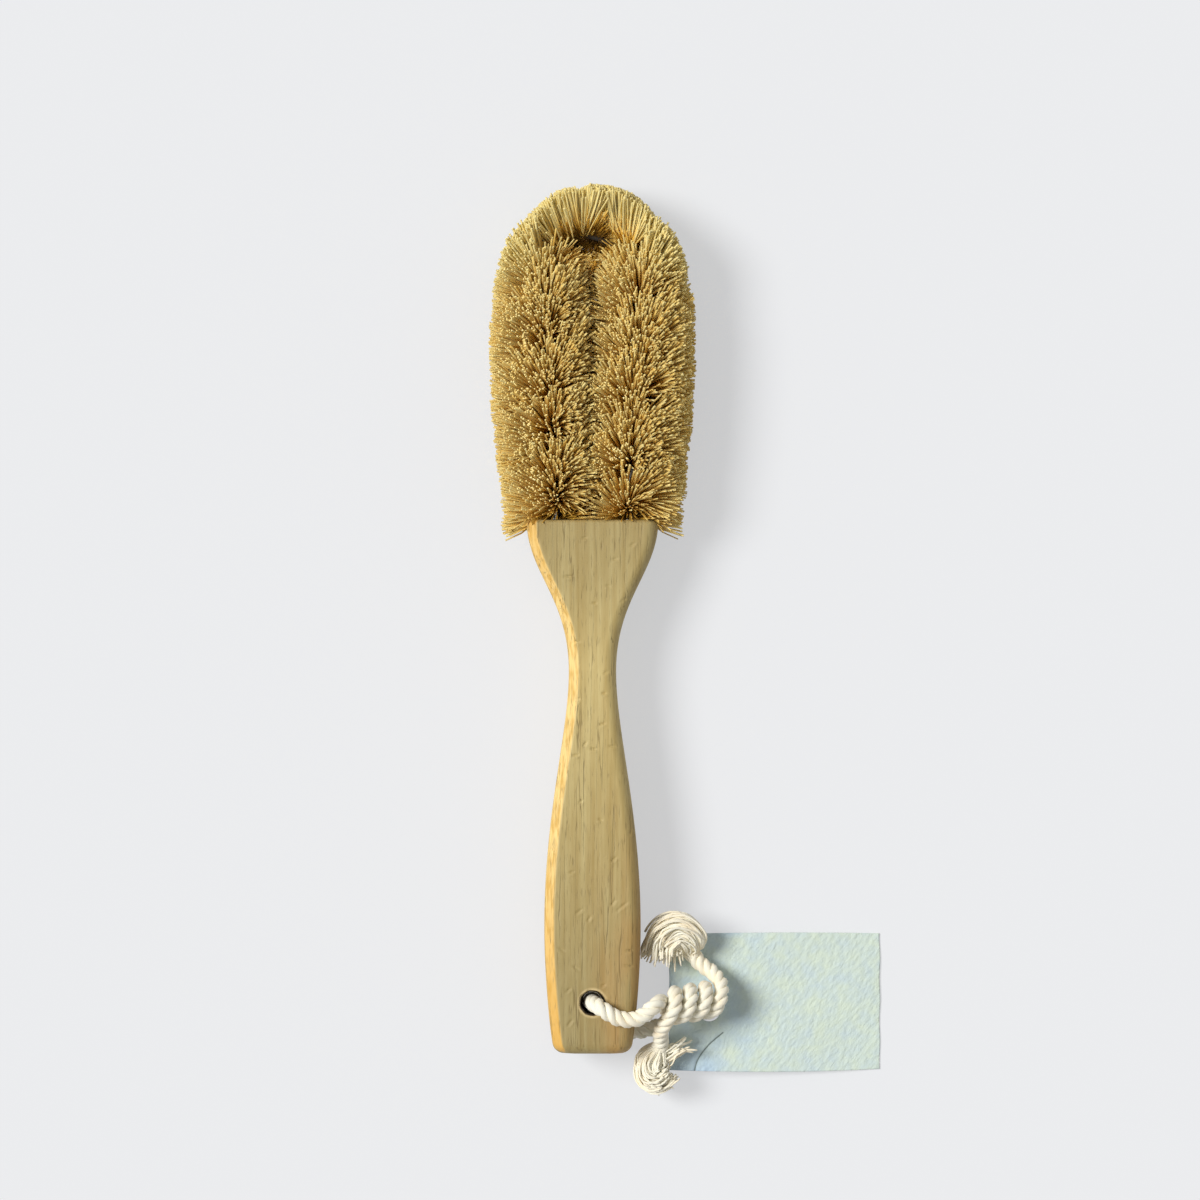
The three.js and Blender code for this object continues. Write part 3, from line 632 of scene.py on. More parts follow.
# The bevel's mark paints the left bevel paler: partly fresh-cut wood, partly painted light from the left.
lit_bevel = put("ShaderNodeAttribute", out="Fac", attribute_name="lit_bevel", attribute_type="GEOMETRY")
planed = put(MIX, [lit_bevel, board_with_shadow, cut], data_type="RGBA")
stain = put(RANGE, [pattern["stain"], 0.3, 0.65, 0.0, STAIN_DARK])
stain = put(MATH, [stain, put(RANGE, [at["X"], *STAIN_X])], "MULTIPLY")
stain = put(MATH, [stain, put(RANGE, [at["Y"], *STAIN_Y])], "MULTIPLY")
stained = put(MIX, [stain, planed, colour("#b5833c")], data_type="RGBA")
grained = put(MIX, [grain, stained, colour("#6f5a2a")], data_type="RGBA")
from_axis = put(VECTOR, [place, (1, 1, 0)], "MULTIPLY")
from_axis = put(VECTOR, [from_axis, (0, CORD_HOLE_Y * MM, 0)], "DISTANCE")
chipped = put(MATH, [put(RANGE, [from_axis, CHIPPED_FROM, CHIPPED_TO]), pattern["fleck"]], "MULTIPLY")
chipped = put(MIX, [chipped, grained, colour("#f3d9a0")], data_type="RGBA")
# Painted shade: the hole's wall is drawn dark, where light hardly reaches.
hole_shade = put(RANGE, [from_axis, SHADE_FROM, SHADE_TO])
hole_shade = put(MIX, [hole_shade, chipped, colour("#3b2c17")], data_type="RGBA")
bump = put("ShaderNodeBump", {"Strength": 0.5, "Distance": PORE_DEPTH, "Height": grain}, invert=True)
fill(wood_shader, {"Base Color": hole_shade, "Normal": bump})
print("made", wood.name)

# %% [markdown]
# ## Handle
#
# The handle's sides are the CAD model's own curves, drawn here with many more points. The left edges are
# planed to a narrow bevel and the right ones are rubbed round, as on the real one, where no two edges
# match. A Bevel modifier gives all edges one profile, so the handle is a row of sections instead, each
# with its own four corners.

# %% Handle outline
HEAD_HALF, NECK_HALF, GRIP_HALF, BUTT_HALF = 19.75, 7.1, 14.45, 11.4
NECK_DISTANCE, GRIP_DISTANCE = 45.4, 122
NECK_Y, GRIP_Y = HANDLE_TOP_Y - NECK_DISTANCE, HANDLE_TOP_Y - GRIP_DISTANCE
SHOULDER_RUN, NECK_RUN_UP, NECK_RUN_DOWN = 15.8, 22.3, 18.7
GRIP_RUN_UP, GRIP_RUN_DOWN, BUTT_RUN, BUTT_FLARE = 34.7, 14.8, 5, 1.25
CURVE_POINTS = 80


def bezier(p0, p1, p2, p3):
    """Places on a cubic curve."""
    t = np.linspace(0, 1, CURVE_POINTS)[:, None]
    p0, p1, p2, p3 = (np.array(p, float) for p in (p0, p1, p2, p3))
    return (1 - t) ** 3 * p0 + 3 * (1 - t) ** 2 * t * p1 + 3 * (1 - t) * t**2 * p2 + t**3 * p3


outline = np.vstack([
    bezier((HEAD_HALF, HANDLE_TOP_Y), (HEAD_HALF, HANDLE_TOP_Y - SHOULDER_RUN),
           (NECK_HALF, NECK_Y + NECK_RUN_UP), (NECK_HALF, NECK_Y)),
    bezier((NECK_HALF, NECK_Y), (NECK_HALF, NECK_Y - NECK_RUN_DOWN),
           (GRIP_HALF, GRIP_Y + GRIP_RUN_UP), (GRIP_HALF, GRIP_Y)),
    bezier((GRIP_HALF, GRIP_Y), (GRIP_HALF, GRIP_Y - GRIP_RUN_DOWN),
           (BUTT_HALF + BUTT_FLARE, BUTT_Y + BUTT_RUN), (BUTT_HALF, BUTT_Y)),
])[::-1]
print("handle outline:", len(outline), "points")

# %% One section of the handle
LEFT_BEVEL, RIGHT_ROUND = 3.2, 3.4
BEVEL_POWER, ROUND_POWER, CORNER_POINTS = 1.12, 1.7, 9
CELLS_BETWEEN = (66, 8, 22, 8)


def corner(radius, power):
    """A quarter of an edge: power 2 is round, and nearer 1 is a flat bevel."""
    angle = np.linspace(0, math.pi / 2, CORNER_POINTS)
    c, s = np.cos(angle), np.sin(angle)
    size = (c**power + s**power) ** (-1 / power)
    return radius * np.column_stack([c * size, s * size])


def section(half_width, inset):
    """One section across the handle, anticlockwise from the right side, as x and height above the axis."""
    w, h = half_width - inset, HALF_THICK - inset
    right, left = corner(RIGHT_ROUND, ROUND_POWER), corner(LEFT_BEVEL, BEVEL_POWER)
    quarters = [
        right + [w - RIGHT_ROUND, h - RIGHT_ROUND],
        left[::-1] * [-1, 1] + [LEFT_BEVEL - w, h - LEFT_BEVEL],
        left * [-1, -1] + [LEFT_BEVEL - w, LEFT_BEVEL - h],
        right[::-1] * [1, -1] + [w - RIGHT_ROUND, RIGHT_ROUND - h],
    ]
    ring = []
    for here, after, cells in zip(quarters, quarters[1:] + quarters[:1], CELLS_BETWEEN):
        ring.append(here)
        ring.append(here[-1] + (after[0] - here[-1]) * (np.arange(1, cells) / cells)[:, None])
    return np.vstack(ring)


print("section:", len(section(GRIP_HALF, 0)), "points")

# %% Sections along the handle
TOP_ROUND, BUTT_ROUND, END_SECTIONS, LONG_SECTIONS = 1.2, 3.0, 7, 480
rounding = np.linspace(0, math.pi / 2, END_SECTIONS)
butt_y = BUTT_Y + BUTT_ROUND * (1 - np.cos(rounding))
top_y = (HANDLE_TOP_Y - TOP_ROUND * (1 - np.cos(rounding)))[::-1]
stations = np.concatenate([butt_y, np.linspace(butt_y[-1], top_y[0], LONG_SECTIONS)[1:-1], top_y])
butt_inset = BUTT_ROUND * (1 - np.sin(rounding))
top_inset = (TOP_ROUND * (1 - np.sin(rounding)))[::-1]
insets = np.concatenate([butt_inset, np.zeros(LONG_SECTIONS - 2), top_inset])
halves = np.interp(stations, outline[:, 1], outline[:, 0])
rings = []
for y, half, inset in zip(stations, halves, insets):
    flat = section(half, inset)
    rings.append(np.column_stack([flat[:, 0], np.full(len(flat), y), flat[:, 1] + AXIS_Z]))
rings = np.array(rings)[:, ::-1]
print("handle:", rings.shape[0], "sections of", rings.shape[1], "points")

# %% [markdown]
# ## Waves and nicks
#
# A used handle is not flat: the sanding left low waves, and knocks left short nicks, each with a raised
# lip. A bump map would show them only from above, so they stand in the mesh itself, on the front face.
# The bevel's mark for the wood finish is worked out first, from the true section: whole on the bevel, and
# half on the left side face. It paints that side paler, partly as fresh-cut wood and partly as painted
# light from the left.

# %% Golden bevel, waves and nicks
# Each nick's x and y in millimetres, its turn in degrees and its length.
NICKS = (
    (6.8, 17.7, 5, 1.6), (-7.2, 12.5, 8, 3), (0.6, 4.5, -5, 1.5), (-5.2, -7.3, 10, 3.2),
    (-2.3, -37.8, 50, 1.8), (0.4, -39.2, -2, 2.2), (5.9, -38.4, -3, 2.2), (3, -31.6, 15, 1.8),
    (3.4, -22.5, 5, 1.4), (4.1, -16.2, 35, 1.8), (-4.3, -24.4, 20, 1.2), (-5, -41, 8, 2),
    (9.2, 5.4, 35, 1.8), (6.4, -72.2, 40, 2.2), (11.4, -64.2, 75, 2.4), (6.2, -85.2, 50, 2.2),
    (8.8, -86.4, 38, 4.2), (-4, -87.8, 35, 2.4), (-1, -90, 60, 2), (-9.2, -99.2, -35, 2),
    (-4.9, -104.7, -30, 2.2), (-7.3, -111.4, 40, 1.8), (11, -99.5, 10, 2), (10.8, -104.1, -5, 2.4),
    (-6.8, -121.2, 50, 2.2), (-11.7, -69.3, 20, 1.4), (-3.5, -55, 40, 1.6), (2.4, -60.3, -25, 1.4),
    (-6.2, -76, 15, 1.6), (3.2, -110, 30, 1.4), (-2.4, 24, 20, 1.4), (4.8, 9.6, -20, 1.4),
    (12, 22, 40, 1.6),
)
NICK_DEPTH, NICK_HALF_WIDTH, LIP_SHARE, LIP_ASIDE = 0.3, 0.34, 0.3, 0.9
LOW_WAVE, LOW_RATE_X, LOW_RATE_Y = 0.05, 0.33, 0.21
SHORT_WAVE, SHORT_RATE_X, SHORT_RATE_Y, SHORT_SLANT = 0.03, 0.9, 0.8, 0.13
BEVEL_MARGIN, SIDE_MARGIN = 0.02, 0.05
BUTT_CLEAR, TOP_CLEAR, CLEAR_FADE, FRONT_FROM = 4, 2, 3, 2
above = np.abs(rings[..., 2] - AXIS_Z) - (HALF_THICK - LEFT_BEVEL)
beside = -rings[..., 0] - (halves[:, None] - LEFT_BEVEL)
on_bevel = (above > BEVEL_MARGIN) & (beside > BEVEL_MARGIN)
# Whole on the bevel and half on the left side: paler wood, partly painted light from the left.
lit_bevel_mark = np.where(on_bevel, 1.0, np.where(beside > LEFT_BEVEL - SIDE_MARGIN, 0.5, 0.0))
x, y, z = rings[..., 0], rings[..., 1], rings[..., 2]
dip = LOW_WAVE * np.sin(y * LOW_RATE_Y + 0.4) * np.sin(x * LOW_RATE_X + 1)
dip = dip + SHORT_WAVE * np.sin(y * SHORT_RATE_Y) * np.sin(x * SHORT_RATE_X + y * SHORT_SLANT)
for nick_x, nick_y, turn, length in NICKS:
    c, s = math.cos(math.radians(turn)), math.sin(math.radians(turn))
    run_in, across = (x - nick_x) * c + (y - nick_y) * s, (y - nick_y) * c - (x - nick_x) * s
    mark = np.exp(-(2 * run_in / length) ** 4)
    dip = dip + NICK_DEPTH * mark * np.exp(-(across / NICK_HALF_WIDTH) ** 2)
    dip = dip - LIP_SHARE * NICK_DEPTH * mark * np.exp(-((across + LIP_ASIDE) / NICK_HALF_WIDTH) ** 2)
from_ends = np.minimum(y - BUTT_Y - BUTT_CLEAR, HANDLE_TOP_Y - TOP_CLEAR - y)
from_ends = np.clip(from_ends / CLEAR_FADE, 0, 1)
rings[..., 2] = z - np.where(z > AXIS_Z + FRONT_FROM, dip * from_ends, 0)
print(len(NICKS), "nicks, deepest dip", round(float(dip.max()), 2), "mm")

# %% [markdown]
# ## Hole and sockets
#
# The cord hole and the two sockets are drilled. They could be left open in the rows of sections, but
# Boolean modifiers cut clean round edges through any mesh. The cord hole's rim is ragged, and the hole is
# drawn narrower at the back than the CAD model's straight one: light that leaks in under the handle would
# show there as a pale ring, where the real hole looks dark.

# %% Drill
DRILL_SIDES = 48


def drill(name, profile, centre, along_y, ragged=0.0):
    """A cutter turned from a profile of radius and height."""
    angle = np.linspace(0, 2 * math.pi, DRILL_SIDES, endpoint=False)
    rough = 1 + ragged * np.sin(angle * 5 + 1) * np.sin(angle * 3)
    turned = []
    for radius, height in profile:
        flat = np.column_stack([radius * rough * np.cos(angle), radius * rough * np.sin(angle)])
        level = np.full(len(angle), height)
        columns = [flat[:, 0], level, -flat[:, 1]] if along_y else [flat, level]
        turned.append(np.column_stack(columns) + centre)
    return skin(name, [np.array(turned)], wood)


print("drill has", DRILL_SIDES, "sides")

# %% Handle with its hole and sockets
HOLE_RADIUS, HOLE_BACK_RADIUS, RIM_RADIUS, BACK_RIM, RIM_HEIGHT, RAGGED = 3.65, 2.8, 4.1, 3, 0.6, 0.06
LEG_X, SOCKET_RADIUS, SOCKET_DEPTH, SOCKET_POINT = 10.5, 2.8, 14, 1.7
SHARP_ANGLE = math.radians(40)
handle = skin("handle_wood", [rings], wood)
mark_points(handle.data, "lit_bevel", lit_bevel_mark)
hole_profile = [
    (BACK_RIM + 1, -HALF_THICK - 1), (BACK_RIM, -HALF_THICK),
    (HOLE_BACK_RADIUS, -HALF_THICK + RIM_HEIGHT), (HOLE_RADIUS, HALF_THICK - RIM_HEIGHT),
    (RIM_RADIUS, HALF_THICK), (RIM_RADIUS + 1, HALF_THICK + 1)]
socket_profile = [(0.1, -SOCKET_DEPTH - SOCKET_POINT), (SOCKET_RADIUS, -SOCKET_DEPTH), (SOCKET_RADIUS, 1)]
cutters = [
    drill("cut_hole", hole_profile, (0, CORD_HOLE_Y, AXIS_Z), False, RAGGED),
    drill("cut_left", socket_profile, (-LEG_X, HANDLE_TOP_Y, AXIS_Z), True),
    drill("cut_right", socket_profile, (LEG_X, HANDLE_TOP_Y, AXIS_Z), True),
]
for cutter in cutters:
    cut = handle.modifiers.new(cutter.name, "BOOLEAN")
    cut.operation, cut.solver, cut.object = "DIFFERENCE", "EXACT", cutter
settle(handle)
for cutter in cutters:
    bpy.data.objects.remove(cutter)
handle.data.set_sharp_from_angle(angle=SHARP_ANGLE)
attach(handle, "brush")
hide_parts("handle")
print("handle:", triangles(handle), "triangles")

# %% [markdown]
# ## Galvanised wire
#
# The two core wires are drawn and galvanised: dull grey metal with a faint bloom of lighter and darker
# spots. They hardly show between the fibres, so new meshes would be wasted on them. The CAD solids stay
# and only take this finish.

# %% Wire finish
BLOOM = 1.5
wire, shader, put = new_material("galvanised_wire", roughness=0.45)
place = put("ShaderNodeTexCoord", out="Object")
bloom = put(NOISE, {"Vector": place, "Scale": per_mm(BLOOM), "Detail": 2.0})
grey = put(RAMP, [bloom], stops=((0.0, "#4d4a44"), (1.0, "#76736c")))
fill(shader, {"Base Color": grey, "Metallic": 1.0})
for node in ("core_wire_a", "core_wire_b"):
    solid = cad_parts[node]
    solid.data.materials.clear()
    solid.data.materials.append(wire)
print("made", wire.name)

# %% [markdown]
# ## Coir
#
# Coir is the fibre of the coconut husk: stiff, springy, golden brown, with a slight gloss and a paler cut
# end. One colour for all would look like plastic, and a texture can't follow thousands of fibres. So each
# fibre carries three values from Geometry Nodes: how far along it a point lies, how far it has grown out
# of the bundle, and a tone of its own. The finish is dark at the root, which is partly painted shade deep
# in the bundle, golden along the fibre and cream at the cut tip. Short fibres have no cut end and stay dark
# to their tips, which paints shade into the groove and the hollow. A tone above one is painted sunlight on
# the outer fibres of the bend, pale down to their roots.

# %% Coir finish
coir, shader, put = new_material("coir_fibre", roughness=0.52)
carried = {name: put("ShaderNodeAttribute", out="Fac", attribute_name=name, attribute_type="GEOMETRY")
           for name in ("along", "grown", "tone")}
# Short fibres keep the root's colour to their tips: painted shade in the groove and the hollow.
along = put(MATH, [carried["along"], carried["grown"]], "MULTIPLY")
# Painted sunlight: a tone above one makes the bend's outer fibres pale down to their roots.
painted_sunlight = put(RANGE, [carried["tone"], 1.0, 2.0, 0.0, 0.5])
along = put(MATH, [along, painted_sunlight], "ADD", use_clamp=True)
# Both ramps darken towards the root, partly as painted shade deep in the bundle.
dark = ((0.0, "#3a2506"), (0.25, "#7c5411"), (0.55, "#d49b26"), (0.97, "#f9d678"))
pale = ((0.0, "#5a3d0b"), (0.18, "#b88521"), (0.36, "#ffcf52"), (0.965, "#ffeca2"))
dark, pale = put(RAMP, [along], stops=dark), put(RAMP, [along], stops=pale)
fill(shader, {"Base Color": put(MIX, [carried["tone"], dark, pale], data_type="RGBA")})
print("made", coir.name)

# %% [markdown]
# ## The loop that the fibres grow from
#
# The core runs from one socket round the bend to the other, as in the CAD model. It could be a curve
# object, but a plain line of points can carry a value of each kind that the fibres need: the twist of the
# wires, how far the trim lets the fibres reach, how much room they have inside the loop, how deep the
# groove between the legs is, how far into the bend and its hollow the point lies, and its distance from
# the wood. The trim follows the photographed outline: fullest half-way up the legs, narrower at the
# shoulders, with a small notch beside the tip.

# %% Core line
BEND_RADIUS, LEG_EASE, TWIST_PITCH, TWIST_START = 14.2, 24, 31.0, 13
BEND_Y = HANDLE_TOP_Y + LOOP_LENGTH - BEND_RADIUS
leg = bezier((-LEG_X, HANDLE_TOP_Y), (-LEG_X, HANDLE_TOP_Y + LEG_EASE), (-BEND_RADIUS, BEND_Y - LEG_EASE),
             (-BEND_RADIUS, BEND_Y))
arc_angle = np.linspace(math.pi, 0, CURVE_POINTS)
arc = np.column_stack([BEND_RADIUS * np.cos(arc_angle), BEND_Y + BEND_RADIUS * np.sin(arc_angle)])
loop = np.vstack([leg[:-1], arc[:-1], (leg * [-1, 1])[::-1]])
run = way_along(loop)
leg_end, bend_end = run[CURVE_POINTS - 1], run[2 * CURVE_POINTS - 2]
print("loop", round(run[-1], 1), "mm, bend from", round(leg_end, 1), "to", round(bend_end, 1))

# %% What each point of the core knows
# The fibres' reach in millimetres, up a leg by its share, and round half the bend by degrees.
LEG_TRIM = ((0, 17), (0.15, 17.8), (0.5, 18.5), (0.8, 17.3), (1, 15.2))
BEND_TRIM = ((0, 15.2), (15, 14.6), (28, 14.2), (41, 14.3), (56, 15.6), (68, 16.6), (90, 17))
NOTCH_ASIDE, NOTCH_CUT, NOTCH_WIDTH = 2.2, 2, 0.8
NOTCH_AT = (leg_end + bend_end) / 2 - NOTCH_ASIDE
LEG_GROOVE, GROOVE_RISE, GROOVE_DELAY, BEND_HOLLOW = 4, 1.6, 0.6, 8.7
BEFORE_BEND, BEND_FADE, HOLLOW_FADE = 9, 18, 16
CORE_STEP, WOOD_GAP = 0.4, 0.2
# Size in radians, rate for each millimetre, and start of the two waves that make the twist uneven.
UNEVEN_TWIST = ((0.45, 0.17, 1), (0.3, 0.41, 0))


def core_stretch(name, start, end):
    """A line of points along part of the loop, with what the fibres there need to know."""
    s = np.arange(start, end, CORE_STEP)
    x, y = np.interp(s, run, loop[:, 0]), np.interp(s, run, loop[:, 1])
    from_wood = np.minimum(s, run[-1] - s)
    leg_share = np.clip(from_wood / leg_end, 0, 1)
    in_bend = (s > leg_end) & (s < bend_end)
    past_leg = np.minimum(s - leg_end, bend_end - s)
    into_hollow = np.clip((past_leg + BEFORE_BEND) / HOLLOW_FADE, 0, 1)
    leg_trim = np.interp(leg_share, *zip(*LEG_TRIM))
    bend_trim = np.interp(90 * past_leg / ((bend_end - leg_end) / 2), *zip(*BEND_TRIM))
    notch = NOTCH_CUT * np.exp(-((s - NOTCH_AT) / NOTCH_WIDTH) ** 2)
    uneven = sum(size * np.sin(s * rate + start) for size, rate, start in UNEVEN_TWIST)
    mesh = bpy.data.meshes.new(name)
    points = np.column_stack([x, y, np.full(len(s), AXIS_Z)]) * MM
    mesh.from_pydata(points.tolist(), [(i, i + 1) for i in range(len(s) - 1)], [])
    mark_points(mesh, "twist", (s + TWIST_START) / TWIST_PITCH * 2 * math.pi + uneven)
    mark_points(mesh, "trim", (np.where(in_bend, bend_trim, leg_trim) - notch) * MM)
    mark_points(mesh, "room", np.where(in_bend, BEND_RADIUS, np.abs(x)) * MM)
    leg_groove = LEG_GROOVE * np.clip(leg_share * GROOVE_RISE - GROOVE_DELAY, 0, 1)
    mark_points(mesh, "groove", (leg_groove + BEND_HOLLOW * into_hollow) * MM)
    mark_points(mesh, "bend", np.clip((past_leg + BEFORE_BEND) / BEND_FADE, 0, 1))
    mark_points(mesh, "hollow", into_hollow)
    mark_points(mesh, "from_wood", from_wood * MM)
    return new_piece(name, mesh)


stretches = [
    core_stretch("coir_fibres_left_leg", WOOD_GAP, leg_end),
    core_stretch("coir_fibres_bend", leg_end, bend_end),
    core_stretch("coir_fibres_right_leg", bend_end, run[-1] - WOOD_GAP),
]
print("points on the core:", [len(piece.data.vertices) for piece in stretches])

# %% [markdown]
# ## Fibres by Geometry Nodes
#
# A bottle brush is many fibres pinched between two twisting wires, so they leave the core on two opposite
# sides that turn with the twist. Hair particles grow evenly from a surface, but Geometry Nodes can hold
# fibres to such ridges. The tree makes one point for each fibre, draws six random numbers for it, and
# reads the core's values at its place along the core.

# %% Fibre tree: inputs
grow = bpy.data.node_groups.new("coir_fibres", "GeometryNodeTree")
grow.is_modifier = True
put = functools.partial(add, grow)
sockets = {}
for name, kind in (("Core", "Geometry"), ("Fibres", "Int"), ("Seed", "Int"),
                   ("Thickness", "Float"), ("Gather", "Float"), ("Lean", "Float")):
    socket = grow.interface.new_socket(name=name, in_out="INPUT", socket_type="NodeSocket" + kind)
    sockets[name] = socket.identifier
grow.interface.new_socket(name="Brush", in_out="OUTPUT", socket_type="NodeSocketGeometry")
given = put("NodeGroupInput").node.outputs
core_curve = put("GeometryNodeMeshToCurve", {"Mesh": given["Core"]})
core_length = put("GeometryNodeCurveLength", [core_curve])
print("tree has", len(sockets), "inputs")

# %% Fibre tree: points and draws
SEED_STEP = 17.0
points = put("GeometryNodePoints", {"Count": given["Fibres"]})
index = put("GeometryNodeInputIndex")
draws = []
for draw, (low, high) in enumerate(((0, 1), (0, 2 * math.pi), (0, 1), (0, 2 * math.pi), (-1, 1), (0, 1))):
    seed = put(MATH, [given["Seed"], draw * SEED_STEP], "ADD")
    draws.append(put("FunctionNodeRandomValue", {"Min": low, "Max": high, "Seed": seed}, data_type="FLOAT"))
jitter, angle, length_draw, spin, lean_draw, tone_draw = draws
spread_even = put(MATH, [index, jitter], "ADD")
factor = put(MATH, [spread_even, given["Fibres"]], "DIVIDE")
read = {}
for key in ("twist", "trim", "room", "groove", "bend", "hollow", "from_wood"):
    value = put("GeometryNodeInputNamedAttribute", {"Name": key}, data_type="FLOAT")
    read[key] = put("GeometryNodeSampleCurve", {"Curves": core_curve, "Value": value, "Factor": factor},
                    data_type="FLOAT", mode="FACTOR")
sampled = read["from_wood"].node.outputs
middle, heading = sampled["Position"], sampled["Tangent"]
print("tree reads", len(read), "values at each of its points")

# %% [markdown]
# ## Roots gathered on the ridges
#
# A fibre's angle round the core is drawn freely, and its root is then moved along the core towards the
# place where the twist has that angle. The more the roots are gathered, the clearer the spiral ridges. In
# the bend most fibres lie flatter, because the wires squeeze them there.

# %% Fibre tree: roots and straight directions
LIES_FLAT_FROM, FLAT_SHARE = 0.6, 0.5
off_ridge = put(MATH, [angle, read["twist"]], "SUBTRACT")
off_ridge = put(MATH, [off_ridge, math.pi / 2, -math.pi / 2], "WRAP")
drawn_in = put(MATH, [off_ridge, TWIST_PITCH * MM / (2 * math.pi)], "MULTIPLY")
drawn_in = put(MATH, [drawn_in, given["Gather"]], "MULTIPLY")
drawn_in = put(MATH, [drawn_in, core_length], "DIVIDE")
root_factor = put(MATH, [factor, drawn_in], "ADD", use_clamp=True)
root = {"Curves": core_curve, "Factor": root_factor}
root = put("GeometryNodeSampleCurve", root, out="Position", mode="FACTOR")
cosine = put(MATH, [angle], "COSINE")
sine = put(MATH, [angle], "SINE")
outward = put(VECTOR, [(0, 0, 1), heading], "CROSS_PRODUCT")
flat = put(VECTOR, [outward, cosine], "SCALE")
lying = put(MATH, [spin, LIES_FLAT_FROM], "GREATER_THAN")
lying = put(MATH, [lying, read["bend"]], "MULTIPLY")
lying = put(RANGE, [lying, 0.0, 1.0, 1.0, FLAT_SHARE])
up = put(JOIN_XYZ, {"Z": put(MATH, [lying, sine], "MULTIPLY")})
straight = put(VECTOR, [flat, up], "ADD")
print("tree:", len(grow.nodes), "nodes with the roots")

# %% [markdown]
# ## How the fibres lean
#
# Straight fibres would look like a lathe's work. A noise field leans neighbours the same way, which makes
# the locks and hollows of a real brush, and is combed out in the bend. All fibres sweep towards the tip,
# the steep ones most, and splay sideways in the bend. Next to the wood they lean back over its corners.
# The lean is then evened out, so that the reach across the core stays what the trim says.

# %% Fibre tree: locks and sweep
LOCK_SIZE, LOCK_HEIGHT, COMBED_SHARE = 6, 15 * MM, 0.3
SWEEP_BELOW_TOP = 35
SWEEP_FROM = (0, (HANDLE_TOP_Y - SWEEP_BELOW_TOP) * MM, AXIS_Z * MM)
SPLAY_X, SWEEP_LEG, SWEEP_BEND, LIE_SWEEP = 24.0, 6.5, 7.5, 0.3
SWEEP_LEAST, SWEEP_MOST = 0.7, 1.2
tip_place = put(VECTOR, [middle, put(VECTOR, [straight, LOCK_HEIGHT], "SCALE")], "ADD")
locks = put(NOISE, {"Vector": tip_place, "Scale": per_mm(LOCK_SIZE), "Detail": 2.0}, out="Color")
locks = put(VECTOR, [locks, (0.5, 0.5, 0.5)], "SUBTRACT")
locks = put(VECTOR, [locks, given["Lean"]], "SCALE")
combed = put(RANGE, [read["bend"], 0.0, 1.0, 1.0, COMBED_SHARE])
locks = put(VECTOR, [locks, combed], "SCALE")
splay_x = put(MATH, [read["bend"], SPLAY_X], "MULTIPLY")
sweep_y = put(RANGE, [read["bend"], 0.0, 1.0, SWEEP_LEG, SWEEP_BEND])
sweep = put(VECTOR, [middle, SWEEP_FROM], "SUBTRACT")
sweep = put(VECTOR, [sweep, put(JOIN_XYZ, {"X": splay_x, "Y": sweep_y})], "MULTIPLY")
steep = put(RANGE, [put(MATH, [sine], "ABSOLUTE"), 0.0, 1.0, LIE_SWEEP, 1.0])
varied = put(RANGE, [length_draw, 0.0, 1.0, SWEEP_LEAST, SWEEP_MOST])
steep = put(MATH, [steep, varied], "MULTIPLY")
sweep = put(VECTOR, [sweep, steep], "SCALE")
locks = put(VECTOR, [locks, sweep], "ADD")
print("tree:", len(grow.nodes), "nodes with the sweep")

# %% Fibre tree: lean beside the wood
NEAR_WOOD, BACK_LEAN, BACK_LEAST, LOOSE_LEAN, ACROSS_LEAST = 9 * MM, -0.35, 0.65, 0.16, 0.4
near_wood = put(RANGE, [read["from_wood"], 0.0, NEAR_WOOD, BACK_LEAN, 0.0])
beside = put(MATH, [cosine, 0.0], "MAXIMUM")
beside = put(RANGE, [beside, 0.0, 1.0, BACK_LEAST, 1.0])
near_wood = put(MATH, [near_wood, beside], "MULTIPLY")
loose_lean = put(MATH, [lean_draw, LOOSE_LEAN], "MULTIPLY")
loose_lean = put(MATH, [loose_lean, combed], "MULTIPLY")
lean = put(VECTOR, [heading, loose_lean], "SCALE")
lean = put(VECTOR, [lean, put(JOIN_XYZ, {"Y": near_wood})], "ADD")
lean = put(VECTOR, [lean, locks], "ADD")
furthest_back = put(MATH, [read["from_wood"], -1 / (COIR_REACH * MM), near_wood], "MULTIPLY_ADD")
parts = put(PART_XYZ, [lean]).node.outputs
lean = put(JOIN_XYZ, [parts["X"], put(MATH, [parts["Y"], furthest_back], "MAXIMUM"), parts["Z"]])
direction = put(VECTOR, [straight, lean], "ADD")
lengthwise = put(VECTOR, [direction, heading], "PROJECT")
across = put(VECTOR, [put(VECTOR, [direction, lengthwise], "SUBTRACT")], "LENGTH")
across = put(MATH, [across, ACROSS_LEAST], "MAXIMUM")
direction = put(VECTOR, [direction, put(MATH, [1.0, across], "DIVIDE")], "SCALE")
rising = put(PART_XYZ, [direction], out="Z")
rise = put(MATH, [rising], "ABSOLUTE", use_clamp=True)
rising = put(MATH, [rising, 0.0], "ADD", use_clamp=True)
print("tree:", len(grow.nodes), "nodes with the lean")

# %% [markdown]
# ## How far the fibres reach
#
# The trim cuts them to length, a little shorter between the ridges and by chance, fuller at half height
# in the bend, and short above the wood. Between the legs there is only half the room: fibres end in a
# groove there, and round the hollow inside the bend. The smaller of the two lengths holds.

